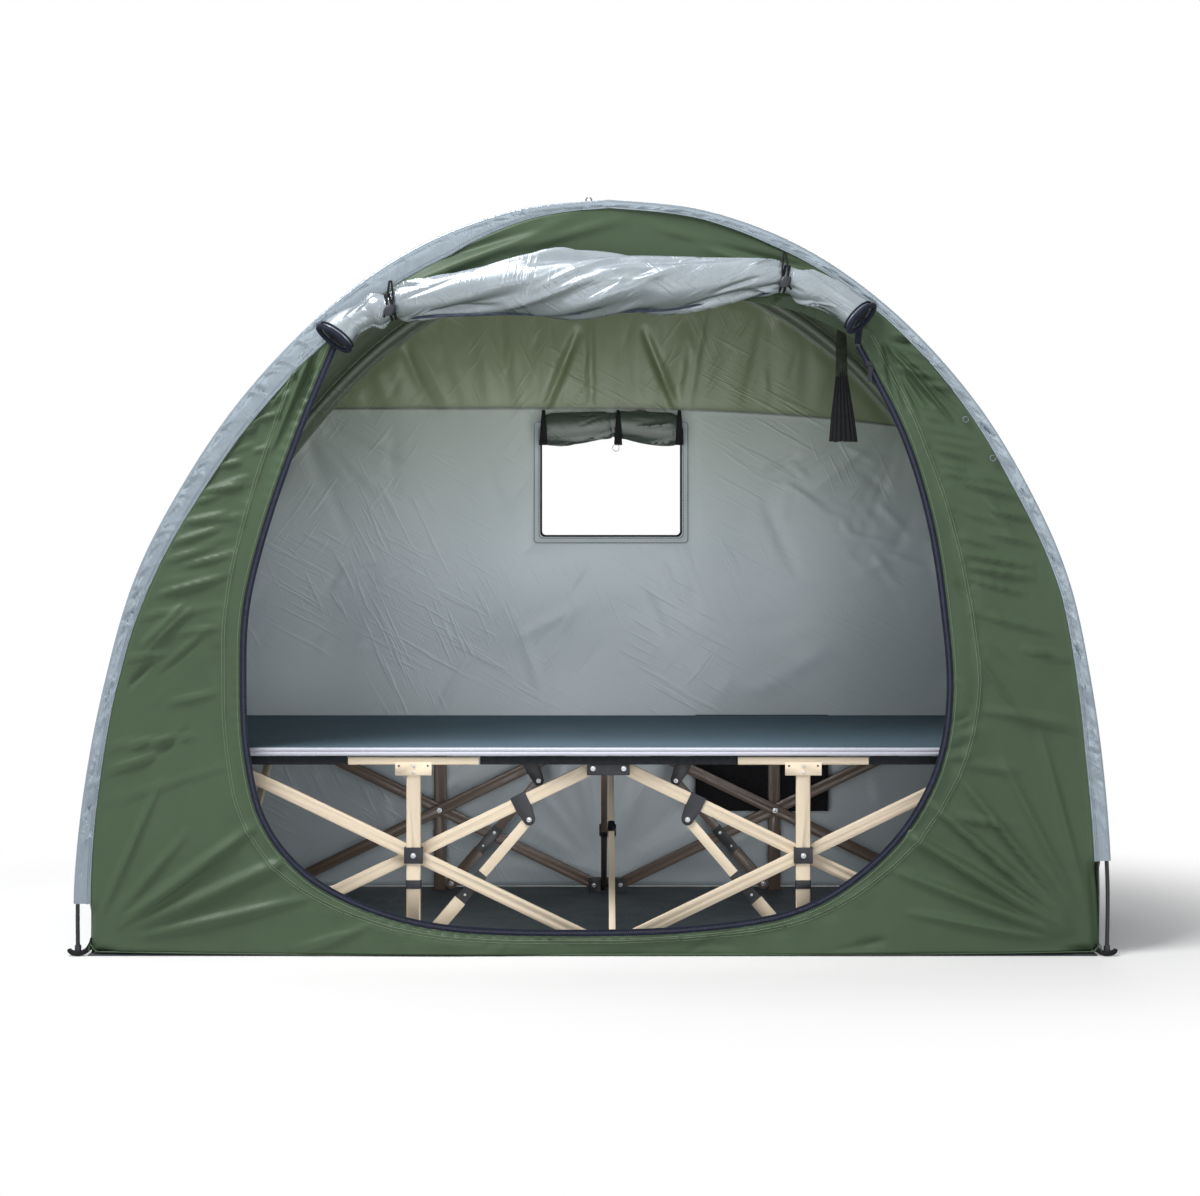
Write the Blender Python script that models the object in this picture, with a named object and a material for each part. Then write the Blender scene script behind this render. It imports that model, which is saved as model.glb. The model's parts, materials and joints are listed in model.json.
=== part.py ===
"""Tent cot: an arched tent over a camp bed whose frame folds as a scissor in both directions.

Metres. +X runs along the bed, +Y away from the doorway and +Z up. The origin is on the ground under the middle.
The frame is drawn once, in the near right quarter: u runs outward along the bed, v outward across it, z up.
Pieces are drawn about the tent's own middle, then moved back by MIDDLE, because the rolled door stands out in front.
"""

from math import atan2, cos, hypot, pi, sin

import bmesh
import bpy
from mathutils import Vector

# Running gap between pieces that touch
GAP = 0.0003

# How far along its edge a ray's hit may lie, counted from the middle, so that corners count too
ALONG_SHARE = 1.000001

# Rays closer together than this are one
RAY_STEP = pi / 900

# Tent: its room past the bed's ends and beside the scissor bars
TENT_HEIGHT = 1.605
END_ROOM = 0.17
WALL_ROOM = 0.0895
CLOTH = 0.0012
SHEET = 0.002
BAND = 0.042
POLE_RADIUS = 0.0045
POLE_ROOM = 0.0007
SLEEVE_END_LEFT = 0.11
SLEEVE_END_RIGHT = 0.2
SLEEVE_FADE = 0.015
SKIRT_INSET = 0.03
SKIRT_SETBACK = 0.014
EAR_WIDTH = 0.034
EAR_REACH = 0.012
ARCH_SHARES = (
    (1.0, 0.0), (1.0, 0.1), (0.985, 0.22), (0.955, 0.35), (0.905, 0.49), (0.825, 0.61),
    (0.708, 0.735), (0.552, 0.85), (0.378, 0.935), (0.188, 0.985), (0.0, 1.0),
)

# How far the arch's upper part leans towards its right foot, and the share of its height where that is reached
ARCH_LEAN = 0.036
LEAN_TOP_SHARE = 0.95

# Doorway
DOOR_MARGIN = 0.355
DOOR_DROP = 0.115
DOOR_SHARES = (
    (-0.735, 0.87), (-0.83, 0.755), (-0.925, 0.62), (-0.985, 0.5), (-0.995, 0.39), (-0.985, 0.29),
    (-0.94, 0.195), (-0.83, 0.122), (-0.66, 0.072), (-0.43, 0.041), (-0.1, 0.033), (0.3, 0.039),
    (0.605, 0.068), (0.833, 0.147), (0.97, 0.25), (1.018, 0.365), (1.0, 0.5), (0.957, 0.63),
    (0.88, 0.75), (0.755, 0.872),
)
LINTEL_SHARES = (
    (0.67, 0.9), (0.54, 0.924), (0.27, 0.944), (0.0, 0.948), (-0.27, 0.939), (-0.54, 0.92), (-0.67, 0.893),
)
ZIP_WIDTH = 0.014
ZIP_THICKNESS = 0.002
SLIDER_LENGTH = 0.02
SLIDER_WIDTH = 0.012
SLIDER_HEIGHT = 0.005
SLIDER_TRAVEL = 0.24
SLIDER_START_SHARE = 0.985
PULL_LENGTH = 0.034
PULL_WIDTH = 0.009
PULL_THICKNESS = 0.0014
PULL_PIN_RADIUS = 0.0012
BRIDGE_REACH = 0.0024
ROLL_RADIUS = 0.058
ROLL_DEPTH = 0.03
ROLL_SHARES = (
    (-0.72, 0.882, 0.27), (-0.68, 0.899, 0.5), (-0.615, 0.918, 0.62), (-0.57, 0.928, 0.5),
    (-0.46, 0.938, 0.78), (-0.27, 0.945, 0.92), (0.0, 0.951, 1.0), (0.27, 0.956, 0.96),
    (0.46, 0.958, 0.8), (0.57, 0.955, 0.5), (0.62, 0.948, 0.62), (0.705, 0.932, 0.5), (0.755, 0.917, 0.27),
)

# Window in the back wall
WINDOW_SHIFT = 0.044
WINDOW_WIDTH = 0.355
WINDOW_LOW = 0.889
WINDOW_HEIGHT = 0.272
WINDOW_CORNER = 0.02
FLAP_RADIUS = 0.044
FLAP_DEPTH = 0.026
FLAP_OVERHANG = 0.008

# Strap that hangs beside the doorway
STRAP_PLACE = 0.536
STRAP_SETBACK = 0.07
STRAP_WIDTH = 0.024
STRAP_END_WIDTH = 0.05
STRAP_LOW = 1.096
STRAP_STITCH = 1.235
STRAP_THICKNESS = 0.002

# Scissor frame: these two set its length, width and height together, and the bed and the tent follow them
BAR_HALF_SPAN = 0.3855
BAR_HALF_RISE = 0.1857
LOW_PIVOT = 0.02
COT_SHIFT = 0.034
BAR_WIDTH = 0.027
BAR_THICKNESS = 0.013
LAYER_GAP = 0.001
PIN_RADIUS = 0.004
PIN_ROOM = 0.0003
RIVET_RADIUS = 0.0055
RIVET_HEIGHT = 0.0014

# Cross bars
CROSS_WIDTH = 0.022
CROSS_THICKNESS = 0.014
CROSS_GAP = 0.003
CROSS_BOSS_RADIUS = 0.014
CROSS_BOSS_HEIGHT = 0.004

# End brackets
BRACKET_PIVOT = 0.033
BRACKET_HALF = 0.046
BRACKET_OUTER = 0.02
BRACKET_CAP = 0.0035
BRACKET_SKIRT = 0.0145
BRACKET_FRONT = 0.0055
BRACKET_BACK = 0.0025
BRACKET_WALL = 0.0023
SWING_ROOM = 0.0007

# Legs
POST_WIDTH = 0.031
POST_DEPTH = 0.014
POST_CORNER = 0.004
RAIL_HALF = 0.14
RAIL_HEIGHT = 0.0175
RAIL_RISE = 0.0261
PLATE_HALF = 0.039
PLATE_HEIGHT = 0.028
PLATE_THICKNESS = 0.003
SCREW_RADIUS = 0.003
COLLAR_HEIGHT = 0.0185
COLLAR_DROP = 0.0623
COLLAR_WALL = 0.0015
LUG_REACH = 0.03
LUG_HEIGHT = 0.024
LUG_RADIUS = 0.0125
FOOT_GAP = 0.0005

# Hubs
HUB_WIDTH = 0.04
HUB_HEIGHT = 0.0345
HUB_FRONT = 0.0032
WASHER_RADIUS = 0.007
WASHER_HEIGHT = 0.0015

# Clevises and struts
CLEVIS_PLACE = 0.255
CLEVIS_DROP = 0.041
CLEVIS_LENGTH = 0.035
CLEVIS_WALL = 0.0025
CLEVIS_TIP = 0.013
CHEEK = 0.0035
STRUT_WIDTH = 0.028
STRUT_LENGTH = 0.106
COUPLING_WIDTH = 0.0245
COUPLING_LENGTH = 0.075
TUBE_WIDTH = 0.021
TUBE_THICKNESS = 0.0095
TUBE_START = 0.048
TUBE_ROOM = 0.0004
BORE_START = 0.03

# Bed cloth
BED_OVERHANG = 0.093
BED_BEAD = 0.0125
BED_BEAD_HEIGHT = 0.023
BED_CLOTH = 0.005
BED_LEVEL = 0.014
BED_SAG = 0.012
HEM_DROP = 0.0175
HEM_THICKNESS = 0.003
HEM_STANDOFF = 0.001

# Pouch on the far side
POUCH_IN = 0.222
POUCH_OUT = 0.555
POUCH_LOW = 0.198
POUCH_THICKNESS = 0.006
POUCH_CORNER = 0.03

# Values worked out from the sizes above
SLOPE = atan2(BAR_HALF_RISE, BAR_HALF_SPAN)
NODE = 2 * (BRACKET_PIVOT + BAR_HALF_SPAN)
HUB = NODE / 2
HUB_LEVEL = LOW_PIVOT + BAR_HALF_RISE
HIGH_PIVOT = HUB_LEVEL + BAR_HALF_RISE
RAIL_TOP = HIGH_PIVOT + RAIL_RISE
COLLAR_PLACE = HUB_LEVEL - COLLAR_DROP
BED_HALF_LENGTH = NODE + BED_OVERHANG
HALF_LENGTH = BED_HALF_LENGTH + END_ROOM
HALF_DEPTH = BAR_HALF_SPAN + WALL_ROOM
DOOR_HALF_WIDTH = HALF_LENGTH - DOOR_MARGIN
DOOR_TOP = TENT_HEIGHT - DOOR_DROP
ROLL_PLACE = HALF_DEPTH + (ZIP_THICKNESS - CLOTH) / 2 + GAP + ROLL_DEPTH
MIDDLE = (ROLL_PLACE + ROLL_DEPTH - HALF_DEPTH) / 2
FLOOR = SHEET + FOOT_GAP
INNER_LAYER = BAR_HALF_SPAN
OUTER_LAYER = INNER_LAYER + BAR_THICKNESS + LAYER_GAP
POST_LAYER = OUTER_LAYER + BAR_THICKNESS / 2 + LAYER_GAP + POST_DEPTH / 2
SLOT_HALF = (BAR_THICKNESS + LAYER_GAP) / 2
BED_EDGE = POST_LAYER + BED_BEAD
BED_LOW = RAIL_TOP + FOOT_GAP

COLOURS = {
    "green_cloth": ((0.075, 0.105, 0.068), 0.55, 0.0),
    "silver_cloth": ((0.40, 0.46, 0.52), 0.35, 0.3),
    "grey_cloth": ((0.28, 0.32, 0.36), 0.45, 0.2),
    "ground_cloth": ((0.02, 0.026, 0.03), 0.7, 0.0),
    "bed_cloth": ((0.048, 0.068, 0.088), 0.8, 0.0),
    "black_cloth": ((0.012, 0.012, 0.014), 0.85, 0.0),
    "beige_paint": ((0.71, 0.59, 0.45), 0.45, 0.2),
    "black_plastic": ((0.012, 0.013, 0.017), 0.5, 0.0),
    "zip_tape": ((0.02, 0.022, 0.04), 0.7, 0.0),
    "zip_metal": ((0.35, 0.35, 0.36), 0.35, 1.0),
    "pole_resin": ((0.012, 0.012, 0.012), 0.35, 0.0),
}


def painted(name):
    """The material of this name, made once."""
    found = bpy.data.materials.get(name)
    if found:
        return found
    colour, roughness, metallic = COLOURS[name]
    made = bpy.data.materials.new(name)
    made.use_nodes = True
    shader = made.node_tree.nodes["Principled BSDF"]
    shader.inputs["Base Color"].default_value = (*colour, 1.0)
    shader.inputs["Roughness"].default_value = roughness
    shader.inputs["Metallic"].default_value = metallic
    made.diffuse_color = (*colour, 1.0)
    return made


def place(name, mesh, material, pivot=(0, 0, 0)):
    """An object with its origin on its joint's axis."""
    mesh = mesh.copy()
    mesh.name = name
    for vertex in mesh.vertices:
        vertex.co -= Vector(pivot)
    mesh.materials.clear()
    mesh.materials.append(painted(material))
    mesh.shade_smooth()
    mesh.set_sharp_from_angle(angle=pi / 6)
    made = bpy.data.objects.new(name, mesh)
    made.location = Vector(pivot) + Vector((0, MIDDLE, 0))
    bpy.context.collection.objects.link(made)
    return made


def closed_mesh(points, faces):
    """A mesh with its faces turned outward."""
    mesh = bpy.data.meshes.new("piece")
    mesh.from_pydata([tuple(p) for p in points], [], faces)
    form = bmesh.new()
    form.from_mesh(mesh)
    bmesh.ops.recalc_face_normals(form, faces=form.faces)
    form.to_mesh(mesh)
    form.free()
    return mesh


def loft(sections):
    """A closed body through rings of as many points each, with a cap at each end."""
    count = len(sections[0])
    points = [p for ring in sections for p in ring]
    faces = []
    for k in range(len(sections) - 1):
        for i in range(count):
            j = (i + 1) % count
            faces.append((k * count + i, k * count + j, (k + 1) * count + j, (k + 1) * count + i))
    faces.append(tuple(range(count)))
    faces.append(tuple(len(points) - count + i for i in range(count)))
    return closed_mesh(points, faces)


def prism(outline, low, high, across):
    """An outline carried from low to high across its plane: u, v or z."""
    turn = {
        "u": lambda a, b, c: (c, a, b),
        "v": lambda a, b, c: (a, c, b),
        "z": lambda a, b, c: (a, b, c),
    }[across]
    return loft([[turn(a, b, c) for a, b in outline] for c in (low, high)])


def box(u, v, z):
    """A box between the two values in each of u, v and z."""
    return prism([(u[0], z[0]), (u[1], z[0]), (u[1], z[1]), (u[0], z[1])], v[0], v[1], "v")


def arc(centre, radius, start, end, steps):
    """Points along an arc."""
    angles = [start + (end - start) * k / steps for k in range(steps + 1)]
    return [(centre[0] + radius * cos(a), centre[1] + radius * sin(a)) for a in angles]


def disc(centre, radius, sides=12):
    """The outline of a round pin or hole."""
    return arc(centre, radius, 0, 2 * pi * (sides - 1) / sides, sides - 1)


def rounded(a, b, corner, steps=2):
    """A rectangle with round corners between the two values in a and in b."""
    points = []
    for k, (x, y) in enumerate(((1, 1), (0, 1), (0, 0), (1, 0))):
        centre = (a[x] - (2 * x - 1) * corner, b[y] - (2 * y - 1) * corner)
        points += arc(centre, corner, k * pi / 2, (k + 1) * pi / 2, steps)
    return points


def capsule(start, end, radius, steps=6):
    """The outline of a flat bar with round ends."""
    heading = atan2(end[1] - start[1], end[0] - start[0])
    points = arc(end, radius, heading - pi / 2, heading + pi / 2, steps)
    return points + arc(start, radius, heading + pi / 2, heading + 3 * pi / 2, steps)


def combined(pieces, cuts=()):
    """The pieces welded into one body, less the cuts."""
    steps = [(mesh, "UNION") for mesh in pieces[1:]]
    steps += [(mesh, "DIFFERENCE") for mesh in cuts]
    base = bpy.data.objects.new("work", pieces[0])
    bpy.context.collection.objects.link(base)
    helpers = [base]
    for mesh, operation in steps:
        tool = bpy.data.objects.new("work", mesh)
        bpy.context.collection.objects.link(tool)
        helpers.append(tool)
        change = base.modifiers.new("combine", "BOOLEAN")
        change.object = tool
        change.operation = operation
        change.solver = "EXACT"
    graph = bpy.context.evaluated_depsgraph_get()
    result = bpy.data.meshes.new_from_object(base.evaluated_get(graph))
    for helper in helpers:
        bpy.data.objects.remove(helper)
    return result


def quarter(mesh, side, face):
    """A mesh drawn in the near right quarter, carried to another: side +1 right, face -1 near."""
    points = [(COT_SHIFT + side * p.co.x, face * p.co.y, p.co.z) for p in mesh.vertices]
    faces = [tuple(polygon.vertices) for polygon in mesh.polygons]
    return closed_mesh(points, faces)


def spot(u, v, z, side, face):
    """The same for one point."""
    return (COT_SHIFT + side * u, face * v, z)


SIDES = (("left", -1), ("right", 1))
FACES = (("near", -1), ("far", 1))

# Centre brackets that turn on a side bar's pin; the others turn on a cross bar's or stand still
END_TO_END = (("near", "top"), ("far", "bottom"))


# Tent: its room past the bed's ends and beside the scissor bars

def smooth(points, steps):
    """A curve through the points, open, with even steps between them."""
    ends = [points[0]] + list(points) + [points[-1]]
    found = []
    for a, b, c, d in zip(ends, ends[1:], ends[2:], ends[3:]):
        for k in range(steps):
            t = k / steps
            found.append(tuple(
                (2 * q + (r - p) * t + (2 * p - 5 * q + 4 * r - s) * t * t + (3 * q - p - 3 * r + s) * t ** 3) / 2
                for p, q, r, s in zip(a, b, c, d)
            ))
    found.append(tuple(points[-1]))
    return found


def between(points, axis, value):
    """The point of a curve where its coordinate on the axis first passes the value."""
    for p, q in zip(points, points[1:]):
        if (p[axis] - value) * (q[axis] - value) <= 0 and p[axis] != q[axis]:
            share = (value - p[axis]) / (q[axis] - p[axis])
            return tuple(a + (b - a) * share for a, b in zip(p, q))
    return points[-1]


def lean(level):
    """How far the arch leans to the right at a level: nothing at its feet, all of it near the crown."""
    share = min(level / (LEAN_TOP_SHARE * TENT_HEIGHT), 1)
    return ARCH_LEAN * share ** 2 * (3 - 2 * share)


def half_arch():
    """Half of the arch's outer line before it leans, from its foot to the crown."""
    return smooth([(x * HALF_LENGTH, z * TENT_HEIGHT) for x, z in ARCH_SHARES], 8)


def stations(side):
    """Places along one half of the arch: close together where the sleeve ends, then even."""
    curve = half_arch()
    end = SLEEVE_END_RIGHT if side > 0 else SLEEVE_END_LEFT
    lows = [SHEET + GAP, end / 3, end - 4 * SLEEVE_FADE, end - 2 * SLEEVE_FADE, end - SLEEVE_FADE, end + GAP]
    found = [between(curve, 1, z) for z in lows]
    found += [p for k, p in enumerate(curve) if p[1] > end + SLEEVE_FADE and k % 4 == 0]
    return [(side * x + lean(z), z) for x, z in found]


def arch():
    """The whole arch, from the right foot over the crown to the left foot, as points and inward normals."""
    points = stations(1) + stations(-1)[-2::-1]
    found = []
    for k, p in enumerate(points):
        a = points[max(k - 1, 0)]
        b = points[min(k + 1, len(points) - 1)]
        length = hypot(b[0] - a[0], b[1] - a[1])
        found.append((p, ((a[1] - b[1]) / length, (b[0] - a[0]) / length)))
    return found


def sleeve_state(point):
    """At one place of the arch: how far the shell is set in, and how far its edge is set back from the pole."""
    end = SLEEVE_END_RIGHT if point[0] > 0 else SLEEVE_END_LEFT
    below = max(0.0, end - point[1]) / SLEEVE_FADE
    back = min(max(below - 1, 0.0), 1.0)
    inward = min(max(below - 2, 0.0) / 2, 1.0)
    return SKIRT_INSET * inward, SKIRT_SETBACK * back


def inset(place, amount):
    point, normal = place
    return (point[0] + normal[0] * amount, point[1] + normal[1] * amount)


def roof_shell():
    """The sheet over the two arches, set in behind the poles' feet."""
    sections = []
    for stop in arch():
        base, back = sleeve_state(stop[0])
        edge = HALF_DEPTH - back
        ring = []
        for depth, y in ((base, -edge), (base, edge), (base + CLOTH, edge), (base + CLOTH, -edge)):
            x, z = inset(stop, depth)
            ring.append((x, y, max(z, SHEET + GAP)))
        sections.append(ring)
    return loft(sections)


def sweep(path, radius, sides=6):
    """A round rod along a path that lies in a plane of constant y."""
    rings = []
    for k, (x, y, z) in enumerate(path):
        a = path[max(k - 1, 0)]
        b = path[min(k + 1, len(path) - 1)]
        length = hypot(b[0] - a[0], b[2] - a[2])
        across = ((a[2] - b[2]) / length, (b[0] - a[0]) / length)
        rings.append([
            (x + across[0] * radius * cos(t), y + radius * sin(t), z + across[1] * radius * cos(t))
            for t in (2 * pi * i / sides for i in range(sides))
        ])
    return loft(rings)


def pole(face):
    """An arched pole in the fold of its sleeve, standing on the groundsheet's ears."""
    depth = CLOTH + POLE_ROOM + POLE_RADIUS
    line = [inset(stop, depth) for stop in arch()]
    return sweep([(x, face * (HALF_DEPTH - depth), z) for x, z in line], POLE_RADIUS)


def wall_edge():
    """The outline of an end wall with its pole sleeve, closed along the ground; the sleeve ends above it."""
    points = []
    for stop in arch():
        end = SLEEVE_END_RIGHT if stop[0][0] > 0 else SLEEVE_END_LEFT
        rise_share = stop[0][1] / end
        skirt = SKIRT_INSET + (BAND - SKIRT_INSET) * rise_share
        x, z = inset(stop, (skirt if rise_share < 1 else 0) + CLOTH + GAP)
        points.append((x, max(z, SHEET + GAP)))
    return points


def ray(outline, centre, angle):
    """Where a ray from the centre meets a closed outline."""
    dx, dz = cos(angle), sin(angle)
    best = None
    for (ax, az), (bx, bz) in zip(outline, outline[1:] + outline[:1]):
        ex, ez = bx - ax, bz - az
        cross = dx * ez - dz * ex
        if cross == 0:
            continue
        reach = ((ax - centre[0]) * ez - (az - centre[1]) * ex) / cross
        along = ((ax - centre[0]) * dz - (az - centre[1]) * dx) / cross
        if reach > 0 and abs(2 * along - 1) < ALONG_SHARE and (best is None or reach < best):
            best = reach
    return (centre[0] + dx * best, centre[1] + dz * best)


def end_wall(outline, opening, centre, low, high):
    """A flat wall with one opening: rays from the opening's middle tie the two edges together."""
    angles = [atan2(z - centre[1], x - centre[0]) for x, z in outline]
    for x, z in opening:
        angle = atan2(z - centre[1], x - centre[0])
        if min(abs(angle - other) for other in angles) > RAY_STEP:
            angles.append(angle)
    angles.sort()
    outer = [ray(outline, centre, a) for a in angles]
    inner = [ray(opening, centre, a) for a in angles]
    rings = [
        [(x, low, z) for x, z in outer], [(x, low, z) for x, z in inner],
        [(x, high, z) for x, z in inner], [(x, high, z) for x, z in outer],
    ]
    count = len(angles)
    points = [p for ring in rings for p in ring]
    faces = []
    for k in range(4):
        for i in range(count):
            j = (i + 1) % count
            m = (k + 1) % 4
            faces.append((k * count + i, k * count + j, m * count + j, m * count + i))
    return closed_mesh(points, faces)


def scaled(shares, width, height):
    return [(a * width, b * height) for a, b in shares]


def zip_line():
    """The middle of the zip, from the left of the doorway's top, round its foot, to the right."""
    return smooth(scaled(DOOR_SHARES, DOOR_HALF_WIDTH, DOOR_TOP), 3)


def offset_line(points, amount):
    """A line moved sideways, to its right."""
    found = []
    for k, p in enumerate(points):
        a = points[max(k - 1, 0)]
        b = points[min(k + 1, len(points) - 1)]
        length = hypot(b[0] - a[0], b[1] - a[1])
        found.append((p[0] - (b[1] - a[1]) / length * amount, p[1] + (b[0] - a[0]) / length * amount))
    return found


def doorway():
    """The doorway's edge: round the outside of the zip, then back along the lintel."""
    rim = offset_line(zip_line(), -(ZIP_WIDTH / 2 + GAP))
    lintel = smooth([rim[-1]] + scaled(LINTEL_SHARES, DOOR_HALF_WIDTH, DOOR_TOP) + [rim[0]], 3)
    return rim + lintel[1:-1]


def zip_tape():
    """The zip along the doorway's edge."""
    line = zip_line()
    inner = offset_line(line, ZIP_WIDTH / 2)
    outer = offset_line(line, -ZIP_WIDTH / 2)
    front = CLOTH / 2 - HALF_DEPTH - ZIP_THICKNESS / 2
    back = front + ZIP_THICKNESS
    return loft([
        [(a[0], front, a[1]), (b[0], front, b[1]), (b[0], back, b[1]), (a[0], back, a[1])]
        for a, b in zip(inner, outer)
    ])


def slider_run():
    """Where the slider starts, and the way that it runs."""
    line = zip_line()
    start = line[int(len(line) * SLIDER_START_SHARE) - 1]
    finish = between(line[::-1], 1, start[1] - SLIDER_TRAVEL)
    length = hypot(finish[0] - start[0], finish[1] - start[1])
    return start, ((finish[0] - start[0]) / length, (finish[1] - start[1]) / length)


def turned(points, origin, way):
    """Points along and across a way, from an origin."""
    return [
        (origin[0] + a * way[0] - b * way[1], origin[1] + a * way[1] + b * way[0]) for a, b in points
    ]


def ellipse_loft(line, depth_share, y, sides=12):
    """A soft roll: ellipses square to a line of points, each with its own radius."""
    rings = []
    for k, (x, z, radius) in enumerate(line):
        a = line[max(k - 1, 0)]
        b = line[min(k + 1, len(line) - 1)]
        length = hypot(b[0] - a[0], b[1] - a[1])
        across = ((a[1] - b[1]) / length, (b[0] - a[0]) / length)
        rings.append([
            (x + across[0] * radius * cos(t), y + depth_share * radius * sin(t), z + across[1] * radius * cos(t))
            for t in (2 * pi * i / sides for i in range(sides))
        ])
    return loft(rings)


def door_roll():
    """The door rolled up in front of the lintel, drawn in where its two ties hold it."""
    line = [(a * DOOR_HALF_WIDTH, b * DOOR_TOP, r * ROLL_RADIUS) for a, b, r in ROLL_SHARES]
    return ellipse_loft(smooth(line, 2), ROLL_DEPTH / ROLL_RADIUS, -ROLL_PLACE)


def window_opening():
    low, high = WINDOW_LOW, WINDOW_LOW + WINDOW_HEIGHT
    left, right = WINDOW_SHIFT - WINDOW_WIDTH / 2, WINDOW_SHIFT + WINDOW_WIDTH / 2
    return rounded((left, right), (low, high), WINDOW_CORNER, 4)


def window_roll():
    """The window's flap rolled up above it, on the wall's inner side."""
    level = WINDOW_LOW + WINDOW_HEIGHT
    reach = WINDOW_WIDTH / 2 + FLAP_OVERHANG
    y = HALF_DEPTH - CLOTH - GAP - FLAP_DEPTH
    places = [(-1.0, 0.7), (-0.85, 1.0), (-0.4, 0.93), (0.0, 1.0), (0.4, 0.93), (0.85, 1.0), (1.0, 0.7)]
    line = [(WINDOW_SHIFT + a * reach, level, r * FLAP_RADIUS) for a, r in places]
    return ellipse_loft(line, FLAP_DEPTH / FLAP_RADIUS, y)


def hanging_strap():
    """A strap that hangs from the roof inside the doorway, wider at its lower end."""
    curve = [(x + lean(z), z) for x, z in half_arch()]
    depth = CLOTH + GAP
    tops = []
    for x in (STRAP_PLACE - STRAP_WIDTH / 2, STRAP_PLACE + STRAP_WIDTH / 2):
        outer = between(curve, 0, x + depth)
        tops.append((x, outer[1] - 2 * depth))
    half, wide = STRAP_WIDTH / 2, STRAP_END_WIDTH / 2
    outline = tops + [
        (STRAP_PLACE + half, STRAP_STITCH), (STRAP_PLACE + wide, STRAP_LOW),
        (STRAP_PLACE - wide, STRAP_LOW), (STRAP_PLACE - half, STRAP_STITCH),
    ]
    low = STRAP_SETBACK - HALF_DEPTH
    return prism(outline, low, low + STRAP_THICKNESS, "v")


def groundsheet():
    """The floor, with an ear at each corner under a pole's foot."""
    reach = HALF_LENGTH - SKIRT_INSET + 2 * CLOTH
    ear = HALF_LENGTH + EAR_REACH
    notch = HALF_DEPTH - EAR_WIDTH
    outline = [
        (-ear, -HALF_DEPTH), (ear, -HALF_DEPTH), (ear, -notch), (reach, -notch), (reach, notch), (ear, notch),
        (ear, HALF_DEPTH), (-ear, HALF_DEPTH), (-ear, notch), (-reach, notch), (-reach, -notch), (-ear, -notch),
    ]
    return prism(outline, 0, SHEET, "z")


def build_tent():
    place("groundsheet", groundsheet(), "ground_cloth")
    place("roof_shell", roof_shell(), "silver_cloth")
    place("front_pole", pole(-1), "pole_resin")
    place("rear_pole", pole(1), "pole_resin")
    opening = doorway()
    centre = (0, DOOR_TOP / 2)
    front = end_wall(wall_edge(), opening, centre, -HALF_DEPTH, CLOTH - HALF_DEPTH)
    place("front_wall", front, "green_cloth")
    middle = (WINDOW_SHIFT, WINDOW_LOW + WINDOW_HEIGHT / 2)
    back = end_wall(wall_edge(), window_opening(), middle, HALF_DEPTH - CLOTH, HALF_DEPTH)
    place("back_wall", back, "grey_cloth")
    place("door_zip", zip_tape(), "zip_tape")
    place("door_roll", door_roll(), "silver_cloth")
    place("window_roll", window_roll(), "green_cloth")
    place("hanging_strap", hanging_strap(), "black_cloth")
    build_slider()


def build_slider():
    """The zip's slider and its pull tab, which hangs from a pin on the slider's face."""
    start, way = slider_run()
    back = CLOTH / 2 - HALF_DEPTH - ZIP_THICKNESS / 2 - GAP
    front = back - SLIDER_HEIGHT
    half, wide = SLIDER_LENGTH / 2, SLIDER_WIDTH / 2
    body = prism(turned(rounded((-half, half), (-wide, wide), wide / 2), start, way), front, back, "v")
    pin = (start[0], front - PULL_PIN_RADIUS - GAP, start[1])
    loop_half = PULL_WIDTH / 2
    ear = PULL_PIN_RADIUS
    bridge = [
        box((pin[0] - loop_half - BRIDGE_REACH, pin[0] - loop_half - GAP), (pin[1] - ear, front + ear),
            (pin[2] - ear, pin[2] + ear)),
        box((pin[0] + loop_half + GAP, pin[0] + loop_half + BRIDGE_REACH), (pin[1] - ear, front + ear),
            (pin[2] - ear, pin[2] + ear)),
        prism(disc((pin[1], pin[2]), ear / 2, 8), pin[0] - loop_half - ear, pin[0] + loop_half + ear, "u"),
    ]
    place("zip_slider", combined([body] + bridge), "zip_metal", (start[0], front, start[1]))
    outline = rounded((pin[0] - loop_half, pin[0] + loop_half), (pin[2] - PULL_LENGTH, pin[2] + ear), loop_half / 2)
    half_thick = PULL_THICKNESS / 2
    tab = prism(outline, pin[1] - half_thick, pin[1] + half_thick, "v")
    barrel = prism(disc((pin[1], pin[2]), ear, 12), pin[0] - loop_half, pin[0] + loop_half, "u")
    bore = prism(disc((pin[1], pin[2]), ear / 2 + GAP / 2, 8), pin[0] - PULL_LENGTH, pin[0] + PULL_LENGTH, "u")
    place("zip_pull", combined([tab, barrel], [bore]), "zip_metal", pin)


# Frame

def bored(outline, low, high, centres, across="v", room=PIN_ROOM):
    """A flat bar with a pin hole at each centre."""
    cuts = [prism(disc(c, PIN_RADIUS + room), low - BAR_WIDTH, high + BAR_WIDTH, across) for c in centres]
    return combined([prism(outline, low, high, across)], cuts)


def side_bar(start, end, layer):
    middle = ((start[0] + end[0]) / 2, (start[1] + end[1]) / 2)
    half = BAR_THICKNESS / 2
    return bored(capsule(start, end, BAR_WIDTH / 2), layer - half, layer + half, (start, middle, end))


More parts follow.
